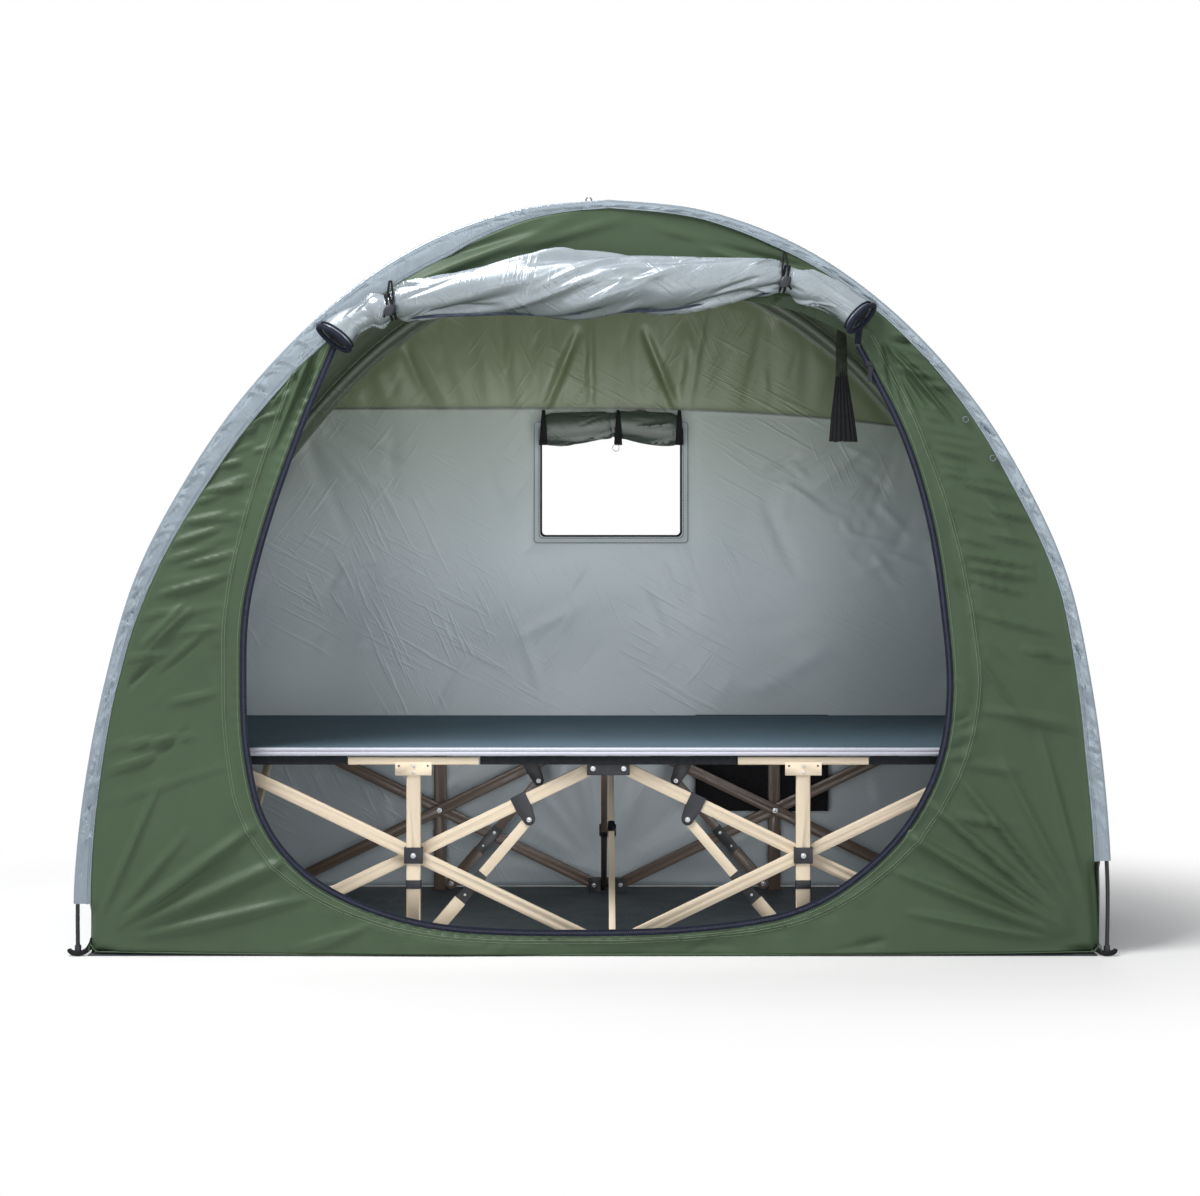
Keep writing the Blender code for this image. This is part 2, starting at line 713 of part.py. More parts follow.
def build_side_bars():
    """In each unit one bar rises outward in the outer layer, and one falls outward in the inner layer."""
    inner, outer = BRACKET_PIVOT, NODE - BRACKET_PIVOT
    rising = side_bar((inner, LOW_PIVOT), (outer, HIGH_PIVOT), OUTER_LAYER)
    falling = side_bar((inner, HIGH_PIVOT), (outer, LOW_PIVOT), INNER_LAYER)
    for face_name, face in FACES:
        for side_name, side in SIDES:
            foot, head, middle = (inner, LOW_PIVOT), (inner, HIGH_PIVOT), (HUB, HUB_LEVEL)
            turns_on = (foot, middle) if face < 0 else (middle, head)
            pieces = (("rising", rising, OUTER_LAYER), ("falling", falling, INNER_LAYER))
            for (name, mesh, layer), (u, z) in zip(pieces, turns_on):
                place(f"{face_name}_{side_name}_{name}_bar", quarter(mesh, side, face), "beige_paint",
                      spot(u, layer, z, side, face))


def cross_bar(rising, station):
    """A bar between the near and the far side, on its own side of the station's middle."""
    near = (-BAR_HALF_SPAN, LOW_PIVOT if rising else HIGH_PIVOT)
    far = (BAR_HALF_SPAN, HIGH_PIVOT if rising else LOW_PIVOT)
    side = 1 if rising else -1
    middle = (0, HUB_LEVEL)
    inner = station + side * CROSS_GAP / 2
    outer = inner + side * CROSS_THICKNESS
    low, high = min(inner, outer), max(inner, outer)
    outline = capsule(near, far, CROSS_WIDTH / 2)
    if not rising:
        return bored(outline, low, high, (near, middle, far), "u")
    # The rising bar carries the crossing pin, a boss on its own side and a head beyond the other bar
    bar = bored(outline, low, high, (near, far), "u")
    boss = prism(disc(middle, CROSS_BOSS_RADIUS), outer - CROSS_GAP, outer + CROSS_BOSS_HEIGHT, "u")
    tail = station - CROSS_GAP / 2 - CROSS_THICKNESS - GAP
    pin = prism(disc(middle, PIN_RADIUS), tail - CROSS_BOSS_HEIGHT / 2, outer, "u")
    head = prism(disc(middle, CROSS_BOSS_RADIUS), tail - CROSS_BOSS_HEIGHT, tail, "u")
    return combined([bar, boss, pin, head])


def build_cross_bars():
    for name, u in (("left", -NODE), ("centre", 0), ("right", NODE)):
        station = COT_SHIFT + u
        place(f"{name}_rising_cross_bar", cross_bar(True, station), "beige_paint",
              (station, -BAR_HALF_SPAN, LOW_PIVOT))
        place(f"{name}_falling_cross_bar", cross_bar(False, station), "beige_paint",
              (station, -BAR_HALF_SPAN, HIGH_PIVOT))


def bracket(node, level, outer_layer):
    """A moulded end bracket: slots and pins for the side bars, and one across for the cross bar."""
    layer = OUTER_LAYER if outer_layer else INNER_LAYER
    pivot, up = (HIGH_PIVOT, 1) if level == "top" else (LOW_PIVOT, -1)
    slot_top = pivot + up * (BAR_WIDTH / 2 + SWING_ROOM)
    cap = slot_top + up * BRACKET_CAP
    open_end = pivot - up * BRACKET_SKIRT
    front = OUTER_LAYER + SLOT_HALF + BRACKET_FRONT
    back = INNER_LAYER - SLOT_HALF - BRACKET_BACK
    outer_end = BRACKET_HALF if node == 0 else BRACKET_OUTER
    body = box((node - BRACKET_HALF, node + outer_end), (back, front), (min(cap, open_end), max(cap, open_end)))
    beyond = open_end - up * BRACKET_HALF
    cross_half = CROSS_GAP / 2 + CROSS_THICKNESS + SWING_ROOM
    bar_start = cross_half + BRACKET_WALL
    hands = (-1, 1) if node == 0 else (-1,)
    span = (min(slot_top, beyond), max(slot_top, beyond))
    cuts = []
    for hand in hands:
        near, far = node + hand * bar_start, node + hand * (BRACKET_HALF + BAR_WIDTH)
        cuts.append(box((min(near, far), max(near, far)), (layer - SLOT_HALF, layer + SLOT_HALF), span))
    cuts.append(box((node - cross_half, node + cross_half),
                    (back - BRACKET_HALF, INNER_LAYER + CROSS_WIDTH / 2 + SWING_ROOM), span))
    shell = combined([body], cuts)
    pieces = [shell]
    for hand in hands:
        centre = (node + hand * BRACKET_PIVOT, pivot)
        pieces.append(prism(disc(centre, PIN_RADIUS), back + BRACKET_BACK / 2, front - BRACKET_BACK, "v"))
        pieces.append(prism(disc(centre, RIVET_RADIUS), front - RIVET_HEIGHT, front + RIVET_HEIGHT, "v"))
    reach = cross_half + BRACKET_WALL / 2
    pieces.append(prism(disc((INNER_LAYER, pivot), PIN_RADIUS), node - reach, node + reach, "u"))
    return combined(pieces)


def build_brackets():
    """Centre brackets and end brackets, top and bottom, near and far."""
    for face_name, face in FACES:
        for level, pivot in (("top", HIGH_PIVOT), ("bottom", LOW_PIVOT)):
            centre = bracket(0, level, level == "bottom")
            end = bracket(NODE, level, level == "top")
            turns_at = BRACKET_PIVOT if (face_name, level) in END_TO_END else 0
            place(f"{face_name}_centre_{level}_bracket", quarter(centre, 1, face), "black_plastic",
                  spot(turns_at, INNER_LAYER, pivot, 1, face))
            for side_name, side in SIDES:
                place(f"{face_name}_{side_name}_{level}_bracket", quarter(end, side, face), "black_plastic",
                      spot(NODE - BRACKET_PIVOT, INNER_LAYER, pivot, side, face))


def leg():
    """Post, rail stub, T plate with its screws, collar and foot lug with the strut's pin, welded as one."""
    low, high = POST_LAYER - POST_DEPTH / 2, POST_LAYER + POST_DEPTH / 2
    half = POST_WIDTH / 2
    rail_low = RAIL_TOP - RAIL_HEIGHT
    plate_top = rail_low + RAIL_HEIGHT / 3
    foot = (HUB - LUG_REACH, LUG_HEIGHT)
    post = prism(rounded((HUB - half, HUB + half), (low, high), POST_CORNER), FLOOR, rail_low + RAIL_HEIGHT / 2, "z")
    rail = prism(rounded((low, high), (rail_low, RAIL_TOP), POST_CORNER), HUB - RAIL_HALF, HUB + RAIL_HALF, "u")
    plate = box((HUB - PLATE_HALF, HUB + PLATE_HALF), (high - PLATE_THICKNESS / 2, high + PLATE_THICKNESS),
                (plate_top - PLATE_HEIGHT, plate_top))
    ring = rounded((HUB - half - COLLAR_WALL, HUB + half + COLLAR_WALL), (low + GAP, high + COLLAR_WALL), POST_CORNER)
    collar = prism(ring, COLLAR_PLACE - COLLAR_HEIGHT / 2, COLLAR_PLACE + COLLAR_HEIGHT / 2, "z")
    lug = prism(capsule(foot, (HUB, LUG_HEIGHT), LUG_RADIUS), low + GAP, high - GAP, "v")
    reach = INNER_LAYER - BAR_THICKNESS / 2 - WASHER_HEIGHT
    pin = prism(disc(foot, PIN_RADIUS), reach, POST_LAYER, "v")
    head = prism(disc(foot, WASHER_RADIUS), reach - WASHER_HEIGHT, reach, "v")
    pieces = [post, rail, plate, collar, lug, pin, head]
    for screw_share in (1 / 4, 3 / 4):
        centre = (HUB, plate_top - PLATE_HEIGHT * screw_share)
        pieces.append(prism(disc(centre, SCREW_RADIUS), high, high + PLATE_THICKNESS + RIVET_HEIGHT, "v"))
    bore = prism(disc((HUB, HUB_LEVEL), PIN_RADIUS + PIN_ROOM), low - POST_DEPTH, high + POST_DEPTH, "v")
    return combined(pieces, [bore])


def hub():
    """A block over the front of the post, with the rivet that both side bars turn on."""
    low, high = POST_LAYER - POST_DEPTH / 2, POST_LAYER + POST_DEPTH / 2
    half, tall = HUB_WIDTH / 2, HUB_HEIGHT / 2
    front = high + HUB_FRONT
    post_half = POST_WIDTH / 2 + GAP
    block = box((HUB - half, HUB + half), (low, front), (HUB_LEVEL - tall, HUB_LEVEL + tall))
    channel = box((HUB - post_half, HUB + post_half), (low - POST_DEPTH, high + GAP),
                  (HUB_LEVEL - HUB_HEIGHT, HUB_LEVEL + HUB_HEIGHT))
    centre = (HUB, HUB_LEVEL)
    reach = INNER_LAYER - BAR_THICKNESS / 2 - GAP
    pin = prism(disc(centre, PIN_RADIUS), reach - WASHER_HEIGHT / 2, front, "v")
    head = prism(disc(centre, RIVET_RADIUS), front - HUB_FRONT / 2, front + RIVET_HEIGHT, "v")
    washer = prism(disc(centre, WASHER_RADIUS), reach - WASHER_HEIGHT, reach, "v")
    return combined([combined([block], [channel]), pin, head, washer])


def clevis_frame():
    """On the falling bar: the clevis's centre, the way along the bar to its high end, and the rivet below."""
    along = (-cos(SLOPE), sin(SLOPE))
    centre = (HUB + CLEVIS_PLACE * along[0], HUB_LEVEL + CLEVIS_PLACE * along[1])
    rivet = (centre[0] - CLEVIS_DROP * along[1], centre[1] + CLEVIS_DROP * along[0])
    return centre, along, rivet


def clevis():
    """A block round the falling bar, whose two cheeks take the strut's end below it."""
    centre, along, rivet = clevis_frame()
    half = CLEVIS_LENGTH / 2
    channel = BAR_WIDTH / 2 + PIN_ROOM
    top = -(channel + CLEVIS_WALL)
    shoulder = BAR_WIDTH / 2
    tip = arc((0, CLEVIS_DROP), CLEVIS_TIP, 0, pi, 8)
    outline = [(half, top), (half, shoulder)] + tip + [(-half, shoulder), (-half, top)]
    slot_low = INNER_LAYER - TUBE_THICKNESS / 2 - SWING_ROOM
    slot_high = INNER_LAYER + TUBE_THICKNESS / 2 + SWING_ROOM
    low, high = slot_low - CHEEK, slot_high + CHEEK
    body = prism(turned(outline, centre, along), low, high, "v")
    bar_half = BAR_THICKNESS / 2 + PIN_ROOM
    reach = CLEVIS_LENGTH
    tunnel = [(-reach, -channel), (reach, -channel), (reach, channel), (-reach, channel)]
    mouth_top = channel + CLEVIS_WALL
    mouth_end = 2 * CLEVIS_DROP
    mouth = [(-reach, mouth_top), (reach, mouth_top), (reach, mouth_end), (-reach, mouth_end)]
    cuts = [
        prism(turned(tunnel, centre, along), INNER_LAYER - bar_half, INNER_LAYER + bar_half, "v"),
        prism(turned(mouth, centre, along), slot_low, slot_high, "v"),
    ]
    heads = [
        prism(disc(rivet, RIVET_RADIUS), high - CHEEK / 2, high + RIVET_HEIGHT, "v"),
        prism(disc(rivet, RIVET_RADIUS), low - RIVET_HEIGHT, low + CHEEK / 2, "v"),
    ]
    return combined([combined([body], cuts)] + heads)


def strut_frame():
    """The strut's foot pivot, its rivet, the way between them and the distance."""
    foot = (HUB - LUG_REACH, LUG_HEIGHT)
    rivet = clevis_frame()[2]
    length = hypot(rivet[0] - foot[0], rivet[1] - foot[1])
    return foot, rivet, ((rivet[0] - foot[0]) / length, (rivet[1] - foot[1]) / length), length


def outer_strut():
    """The wide lower tube with its black coupling, bored for the tube that slides in it."""
    foot, _, way, _ = strut_frame()
    half = BAR_THICKNESS / 2
    low, high = INNER_LAYER - half, INNER_LAYER + half
    wide, slim = STRUT_WIDTH / 2, COUPLING_WIDTH / 2
    top = STRUT_LENGTH + COUPLING_LENGTH
    body = [(STRUT_LENGTH, -wide), (STRUT_LENGTH, wide)] + arc((0, 0), wide, pi / 2, 3 * pi / 2, 10)
    tube = prism(turned(body, foot, way), low, high, "v")
    coupling = [(STRUT_LENGTH - wide, -slim), (top, -slim), (top, slim), (STRUT_LENGTH - wide, slim)]
    sleeve = prism(turned(coupling, foot, way), low + GAP, high - GAP, "v")
    bore_half = TUBE_WIDTH / 2 + TUBE_ROOM
    bore = [(BORE_START, -bore_half), (2 * top, -bore_half), (2 * top, bore_half), (BORE_START, bore_half)]
    deep = TUBE_THICKNESS / 2 + TUBE_ROOM
    cuts = [
        prism(turned(bore, foot, way), INNER_LAYER - deep, INNER_LAYER + deep, "v"),
        prism(disc(foot, PIN_RADIUS + PIN_ROOM), low - BAR_WIDTH, high + BAR_WIDTH, "v"),
    ]
    return combined([tube, sleeve], cuts)


def inner_strut():
    """The narrow tube from inside the lower one up to the clevis."""
    foot, _, way, length = strut_frame()
    half = TUBE_WIDTH / 2
    body = [(TUBE_START, half), (TUBE_START, -half)] + arc((length, 0), half, -pi / 2, pi / 2, 8)
    deep = TUBE_THICKNESS / 2
    return prism(turned(body, foot, way), INNER_LAYER - deep, INNER_LAYER + deep, "v")


def build_legs():
    pieces = (
        ("leg", leg(), "beige_paint", (HUB, POST_LAYER, HUB_LEVEL)),
        ("hub", hub(), "black_plastic", (HUB, POST_LAYER, HUB_LEVEL)),
        ("clevis", clevis(), "black_plastic", (HUB, INNER_LAYER, HUB_LEVEL)),
        ("outer_strut", outer_strut(), "beige_paint", (HUB - LUG_REACH, INNER_LAYER, LUG_HEIGHT)),
        ("inner_strut", inner_strut(), "beige_paint", (HUB - LUG_REACH, INNER_LAYER, LUG_HEIGHT)),
    )
    for face_name, face in FACES:
        for side_name, side in SIDES:
            for name, mesh, material, pivot in pieces:
                place(f"{face_name}_{side_name}_{name}", quarter(mesh, side, face), material,
                      spot(*pivot, side, face))


def bed_grid(reach, bead, count):
    """Grid lines across the bed: both edges of each bead, and even steps between."""
    inner = reach - bead
    lines = [-inner + 2 * inner * k / count for k in range(count + 1)]
    return [-reach] + lines + [reach]


def bed_cloth():
    """The bed's cloth: a bead all round, and a thin sheet that sags a little between."""
    us = bed_grid(BED_HALF_LENGTH, BED_BEAD, 20)
    vs = bed_grid(BED_EDGE, BED_BEAD, 8)
    points = []
    for level in (1, 0):
        for i, u in enumerate(us):
            for j, v in enumerate(vs):
                edge = i in (0, 1, len(us) - 2, len(us) - 1) or j in (0, 1, len(vs) - 2, len(vs) - 1)
                if edge:
                    z = BED_LOW + level * BED_BEAD_HEIGHT
                else:
                    hollow = cos(pi / 2 * u / BED_HALF_LENGTH) ** 0.5 * cos(pi / 2 * v / BED_EDGE)
                    z = BED_LOW + BED_LEVEL - BED_SAG * hollow + level * BED_CLOTH
                points.append((u, v, z))
    rows, count = len(vs), len(us) * len(vs)
    faces = []
    for i in range(len(us) - 1):
        for j in range(rows - 1):
            a = i * rows + j
            faces.append((a, a + rows, a + rows + 1, a + 1))
            faces.append((count + a, count + a + 1, count + a + rows + 1, count + a + rows))
    rim = [i * rows for i in range(len(us))]
    rim += [(len(us) - 1) * rows + j for j in range(1, rows)]
    rim += [i * rows + rows - 1 for i in range(len(us) - 2, -1, -1)]
    rim += [j for j in range(rows - 2, 0, -1)]
    for a, b in zip(rim, rim[1:] + rim[:1]):
        faces.append((a, b, count + b, count + a))
    sheet = closed_mesh(points, faces)
    hems = []
    inside, outside = HUB - RAIL_HALF - HEM_THICKNESS, HUB + RAIL_HALF + HEM_THICKNESS
    front = BED_EDGE - BED_BEAD + HEM_STANDOFF
    end = BED_HALF_LENGTH - HEM_STANDOFF
    for face in (-1, 1):
        span = sorted((face * front, face * (front + HEM_THICKNESS)))
        for low, high in ((-end, -outside), (-inside, inside), (outside, end)):
            hems.append(box((low, high), span, (BED_LOW - HEM_DROP, BED_LOW + HEM_STANDOFF)))
    return combined([sheet] + hems)


def build_bed():
    place("bed_cloth", quarter(bed_cloth(), 1, 1), "bed_cloth", (COT_SHIFT + BRACKET_PIVOT, 0, HIGH_PIVOT))
    low = BED_EDGE + FOOT_GAP
    outline = rounded((POUCH_IN, POUCH_OUT), (POUCH_LOW, BED_LOW + BED_BEAD_HEIGHT), POUCH_CORNER, 4)
    pouch = prism(outline, low, low + POUCH_THICKNESS, "v")
    place("storage_pouch", quarter(pouch, 1, 1), "black_cloth", spot(HUB, BED_EDGE, HUB_LEVEL, 1, 1))


def main():
    for old in list(bpy.data.objects):
        bpy.data.objects.remove(old)
    build_tent()
    build_side_bars()
    build_cross_bars()
    build_brackets()
    build_legs()
    build_bed()


main()
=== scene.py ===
"""Tent cot: cloth, zips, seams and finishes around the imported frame.

Metres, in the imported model's frame: +X along the bed, +Y from the doorway to the back wall, +Z up.
"""

import json
import random
from math import atan2, cos, hypot, pi, radians, sin

import bmesh
import bpy
import numpy as np
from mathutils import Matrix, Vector


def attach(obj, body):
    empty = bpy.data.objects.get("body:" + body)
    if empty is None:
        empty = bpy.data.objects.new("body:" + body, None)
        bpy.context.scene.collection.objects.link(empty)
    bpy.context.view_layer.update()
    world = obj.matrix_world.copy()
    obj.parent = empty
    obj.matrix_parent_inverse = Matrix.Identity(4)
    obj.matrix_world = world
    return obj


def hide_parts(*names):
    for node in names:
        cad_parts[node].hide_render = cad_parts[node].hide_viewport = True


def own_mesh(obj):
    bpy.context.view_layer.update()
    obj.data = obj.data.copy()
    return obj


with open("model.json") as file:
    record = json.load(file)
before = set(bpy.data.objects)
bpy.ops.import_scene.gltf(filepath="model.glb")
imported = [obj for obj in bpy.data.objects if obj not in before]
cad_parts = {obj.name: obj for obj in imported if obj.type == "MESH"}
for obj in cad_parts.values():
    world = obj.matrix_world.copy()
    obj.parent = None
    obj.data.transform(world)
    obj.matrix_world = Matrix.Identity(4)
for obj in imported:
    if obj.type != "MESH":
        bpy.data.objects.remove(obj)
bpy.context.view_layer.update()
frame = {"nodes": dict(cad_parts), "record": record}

# Sizes shared with the solids. In tables and signs, -1 is the left or near side and 1 the right or far one.

HALF_LENGTH = 1.1
TENT_HEIGHT = 1.605
HALF_DEPTH = 0.475
# The Y of the plane half way between the front and the back wall
MIDDLE = 0.03035
FRONT = MIDDLE - HALF_DEPTH
BACK = MIDDLE + HALF_DEPTH
# The sleeves' widths at levels up the arch
BANDS = {
    -1: ((0.11, 0.036), (0.33, 0.031), (0.55, 0.027), (0.68, 0.029), (0.8, 0.036), (1.05, 0.044),
         (1.2, 0.048), (1.4, 0.05), (1.53, 0.046), (1.58, 0.028), (1.6, 0.017)),
    1: ((0.2, 0.034), (0.43, 0.034), (0.6, 0.028), (0.77, 0.024), (1.02, 0.028), (1.25, 0.022), (1.42, 0.021),
        (1.53, 0.024), (1.6, 0.017)),
}
# The least width that still holds the pole, and the levels where the sleeves end
POCKET = 0.0136
SLEEVE_END = {-1: 0.11, 1: 0.2}
# Below the sleeves the roof's foot stands inside the bare poles, from the side and from the front
SKIRT_INSET = {-1: 0.03, 1: 0.018}
SKIRT_SETBACK = 0.014
# The arch's right half, as shares of its half length and height
ARCH = (
    (1.0, 0.0), (1.0, 0.1), (0.985, 0.22), (0.955, 0.35), (0.905, 0.49), (0.825, 0.61),
    (0.708, 0.735), (0.552, 0.85), (0.378, 0.935), (0.188, 0.985), (0.0, 1.0),
)
# How far the crown leans to the right, and the level where all of that is reached
ARCH_LEAN = 0.036
LEAN_TOP = 0.95 * TENT_HEIGHT
DOOR_HALF_WIDTH = 0.745
DOOR_TOP = 1.49
# The zip's line and the edge above the doorway, as shares of the doorway's half width and top
DOOR = (
    (-0.735, 0.87), (-0.83, 0.755), (-0.925, 0.62), (-0.985, 0.5), (-0.995, 0.39), (-0.985, 0.29),
    (-0.94, 0.195), (-0.83, 0.122), (-0.66, 0.072), (-0.43, 0.041), (-0.1, 0.033), (0.3, 0.039),
    (0.605, 0.068), (0.833, 0.147), (0.97, 0.25), (1.018, 0.365), (1.0, 0.5), (0.957, 0.63),
    (0.88, 0.75), (0.755, 0.872),
)
LINTEL = (
    (0.67, 0.9), (0.54, 0.924), (0.27, 0.944), (0.0, 0.948), (-0.27, 0.939), (-0.54, 0.92), (-0.67, 0.893),
)
ZIP_WIDTH = 0.014
# How far in front of Y = 0 the rolled door's middle lies
ROLL_PLACE = 0.5057 - MIDDLE
# The window's middle, width, lower edge and upper edge
WINDOW = (0.044, 0.355, 0.889, 1.161)
# The cot stands to the right of the tent's middle. Its pivots, out from its own middle and up:
COT_SHIFT = 0.034
BAR_HALF_SPAN = 0.3855
BRACKET_PIVOT = 0.033
NODE = 0.837
HUB = 0.4185
LOW_PIVOT, HUB_LEVEL, HIGH_PIVOT = 0.02, 0.2057, 0.3914
BED_HALF_LENGTH = 0.93
BED_EDGE = 0.4265
BED_LOW = 0.418

# Details that only this script has: the cloth's thickness and thread pitch, the stitches' height over
# it, and the back wall's seam, which is level on the left and falls off to the right
CLOTH = 0.0009
THREADS = 0.0011
THREAD_LIFT = 0.0004
SEAM_LEVEL = 1.212
SEAM_DROP = 0.078
SEAM_POWER = 2.2

SIDES = (("left", -1), ("right", 1))
FACES = (("near", -1), ("far", 1))


# Colours and finishes

def srgb(red, green, blue):
    """A colour as a screen shows it, from 0 to 255, as linear light."""
    linear = [((c / 255 + 0.055) / 1.055) ** 2.4 if c > 10 else c / 255 / 12.92 for c in (red, green, blue)]
    return (*linear, 1.0)


class Wire:
    """An output socket in a node tree. Python's operators on it add Math nodes."""

    def __init__(self, finish, socket):
        self.finish = finish
        self.socket = socket

    def maths(self, operation, *values):
        """A Math node, which shader and geometry trees share."""
        return self.finish.add("ShaderNodeMath", {"operation": operation}, dict(enumerate(values)))

    def __add__(self, other):
        return self.maths("ADD", self, other)

    def __sub__(self, other):
        return self.maths("SUBTRACT", self, other)

    def __rsub__(self, other):
        return self.maths("SUBTRACT", other, self)

    def __mul__(self, other):
        return self.maths("MULTIPLY", self, other)

    def __truediv__(self, other):
        return self.maths("DIVIDE", self, other)

    def __pow__(self, other):
        return self.maths("POWER", self, other)

    def __gt__(self, other):
        return self.maths("GREATER_THAN", self, other)


class Graph:
    """A node tree whose nodes are added by kind, settings and inputs."""

    prefix = "ShaderNode"

    def __init__(self, tree):
        self.tree = tree

    def add(self, kind, settings=None, inputs=None, output=0):
        node = self.tree.nodes.new(kind if "Node" in kind else self.prefix + kind)
        for name, value in (settings or {}).items():
            setattr(node, name, value)
        for name, value in (inputs or {}).items():
            self.feed(node.inputs[name], value)
        return Wire(self, node.outputs[output])

    def feed(self, socket, value):
        if isinstance(value, Wire):
            self.tree.links.new(value.socket, socket)
        else:
            socket.default_value = value

    def split(self, vector):
        """The three numbers of a vector."""
        node = self.tree.nodes.new("ShaderNodeSeparateXYZ")
        self.feed(node.inputs[0], vector)
        return [Wire(self, socket) for socket in node.outputs]

    def seen_directly(self):
        """1 for rays from the camera or from a mirror, and 0 for the light that falls on things."""
        path = self.tree.nodes.new("ShaderNodeLightPath")
        camera_ray = Wire(self, path.outputs["Is Camera Ray"])
        return camera_ray.maths("MAXIMUM", camera_ray, Wire(self, path.outputs["Is Glossy Ray"]))


class Finish(Graph):
    """A material: a Principled shader and what varies over the surface."""

    def __init__(self, name, roughness=0.5, metallic=0.0, **fixed):
        self.material = bpy.data.materials.new(name)
        self.material.use_nodes = True
        super().__init__(self.material.node_tree)
        self.shader = self.tree.nodes["Principled BSDF"]
        self.set("Roughness", roughness)
        self.set("Metallic", metallic)
        for label, value in fixed.items():
            self.set(label.replace("_", " "), value)
        self.place = self.add("TexCoord", output="Object")
        self.x, self.y, self.z = self.split(self.place)

    def set(self, label, value):
        self.feed(self.shader.inputs[label], value)

    def noise(self, scale, detail=3.0, roughness=0.5, vector=None, distortion=0.0):
        inputs = {"Vector": vector or self.place, "Scale": scale, "Detail": detail,
                  "Roughness": roughness, "Distortion": distortion}
        return self.add("TexNoise", None, inputs)

    def shared(self, value, low, high, to_low=0.0, to_high=1.0):
        """A number carried from one range to another, and held inside it."""
        settings = {"interpolation_type": "SMOOTHSTEP"}
        return self.add("MapRange", settings, {"Value": value, "From Min": low, "From Max": high,
                                               "To Min": to_low, "To Max": to_high})

    def mix(self, first, second, share):
        """A colour between two, whose sockets are known by number on this node."""
        return self.add("Mix", {"data_type": "RGBA"}, {0: share, 6: first, 7: second}, output=2)

    def bump(self, height, strength, distance=0.001, normal=None):
        inputs = {"Height": height, "Strength": strength, "Distance": distance}
        if normal:
            inputs["Normal"] = normal
        return self.add("Bump", None, inputs)


def dimmed(colour, share):
    """A colour at a share of its light."""
    return tuple(c * share for c in colour[:3]) + (1.0,)


def crossed(across, along, pitch):
    """Threads that pass over and under each other along two directions, as a height."""
    across, along = across * (2 * pi / pitch), along * (2 * pi / pitch)
    return across.maths("SINE", across) * along.maths("SINE", along)


def weave(finish):
    """The threads of the tent's cloth, which also show on sides that face any way."""
    return crossed(finish.x + finish.y * 0.6, finish.z + finish.y * 0.8, THREADS)


def streaks(finish, turn, length, width, start, cut=0.56):
    """Long soft ridges on one slant, as a height: only where the noise is above the cut."""
    slant = finish.add("Mapping", None, {"Vector": finish.place, "Rotation": turn})
    drawn_out = finish.add("Mapping", None, {"Vector": slant, "Location": (start, start * 0.7, start * 1.3),
                                             "Scale": (1 / length, 1 / length, 1 / width)})
    return finish.shared(finish.noise(1.0, 2.0, 0.45, drawn_out, 0.35), cut, cut + 0.16)


def creased(finish, strength, scale=1.0, slants=(0.5, -0.6, 1.35)):
    """Creases of a thin coated cloth: fine ridges on a few slants, each strong only in patches."""
    total = None
    for k, slant in enumerate(slants):
        shift = (k * 3.1, k * 1.7, k * 2.3)
        shifted = finish.add("Mapping", None, {"Vector": finish.place, "Location": shift})
        patch = finish.shared(finish.noise(2.6 / scale, 2.0, 0.5, shifted), 0.48, 0.64)
        turn = (slant * 0.4, slant, 0.0)
        ridge = streaks(finish, turn, 0.2 * scale, 0.016 * scale, k * 4.7) * patch
        fine = streaks(finish, turn, 0.09 * scale, 0.006 * scale, k * 2.9 + 9, 0.58) * patch * 0.4
        total = ridge + fine if total is None else total + ridge + fine
    return finish.bump(total, strength, 0.006)


def cloth(name, colour, dark_share, roughness, metallic=0.0, creases=0.5, scale=1.0, under=None, **fixed):
    """A woven, coated cloth with faint patches, creases and threads, and maybe a painted shade on the faces
    that look down.
    """
    made = Finish(name, roughness, metallic, **fixed)
    patch = made.noise(3.1, 4.0, 0.6)
    shade = made.noise(37.0, 3.0, 0.6)
    tone = made.shared(patch * 0.7 + shade * 0.3, 0.35, 0.66)
    shown = made.mix(dimmed(colour, dark_share), colour, tone)
    # Faces that look down are painted toward the darker colour: painted shade of an underside.
    if under:
        facing_up = made.split(made.add("NewGeometry", output="Normal"))[2]
        shown = made.mix(under, shown, made.shared(facing_up, -0.8, 0.5))
    made.set("Base Color", shown)
    made.set("Roughness", made.shared(made.noise(11.0, 3.0), 0.3, 0.7, roughness - 0.05, roughness + 0.07))
    made.set("Normal", made.bump(weave(made), 0.08, 0.0002, creased(made, creases, scale)))
    return made.material


def back_cloth():
    """The back wall's inner side: silver below its seam, with painted reflection and shade towards it, olive
    above it, and the roof's hem at its edge.
    """
    made = Finish("back_inner_cloth", 0.36)
    seam = SEAM_LEVEL - made.x.maths("MAXIMUM", made.x, 0.0) ** SEAM_POWER * SEAM_DROP
    above = (made.z - seam) > 0.0
    patch = made.shared(made.noise(1.6, 2.0, 0.5), 0.3, 0.7)
    low = made.mix(srgb(172, 183, 189), srgb(186, 196, 202), patch)
    # Up from 0.75 m to 1.25 m the silver is painted darker and greener: painted reflection of the olive
    # cloth, and painted shade towards the top.
    silver = made.mix(low, srgb(146, 157, 149), made.shared(made.z, 0.75, 1.25))
    olive = made.mix(srgb(104, 115, 88), srgb(120, 131, 103), patch)
    from_edge = made.add("Attribute", {"attribute_name": "from_edge"}, output="Fac")
    hem = made.shared(from_edge, 0.044, 0.043) * (made.z > 0.05)
    fold = made.shared(from_edge, 0.041, 0.043) * hem
    colour = made.mix(made.mix(silver, olive, above), srgb(74, 85, 66), hem)
    line = made.shared((made.z - seam).maths("ABSOLUTE", made.z - seam), 0.0035, 0.0015)
    colour = made.mix(colour, srgb(48, 56, 44), fold)
    made.set("Base Color", made.mix(colour, srgb(70, 78, 66), line * 0.8))
    wrinkles = creased(made, 0.16, 0.9, (0.9, -0.5, 2.2))
    made.set("Normal", made.bump(weave(made), 0.06, 0.0002, wrinkles))
    return made.material


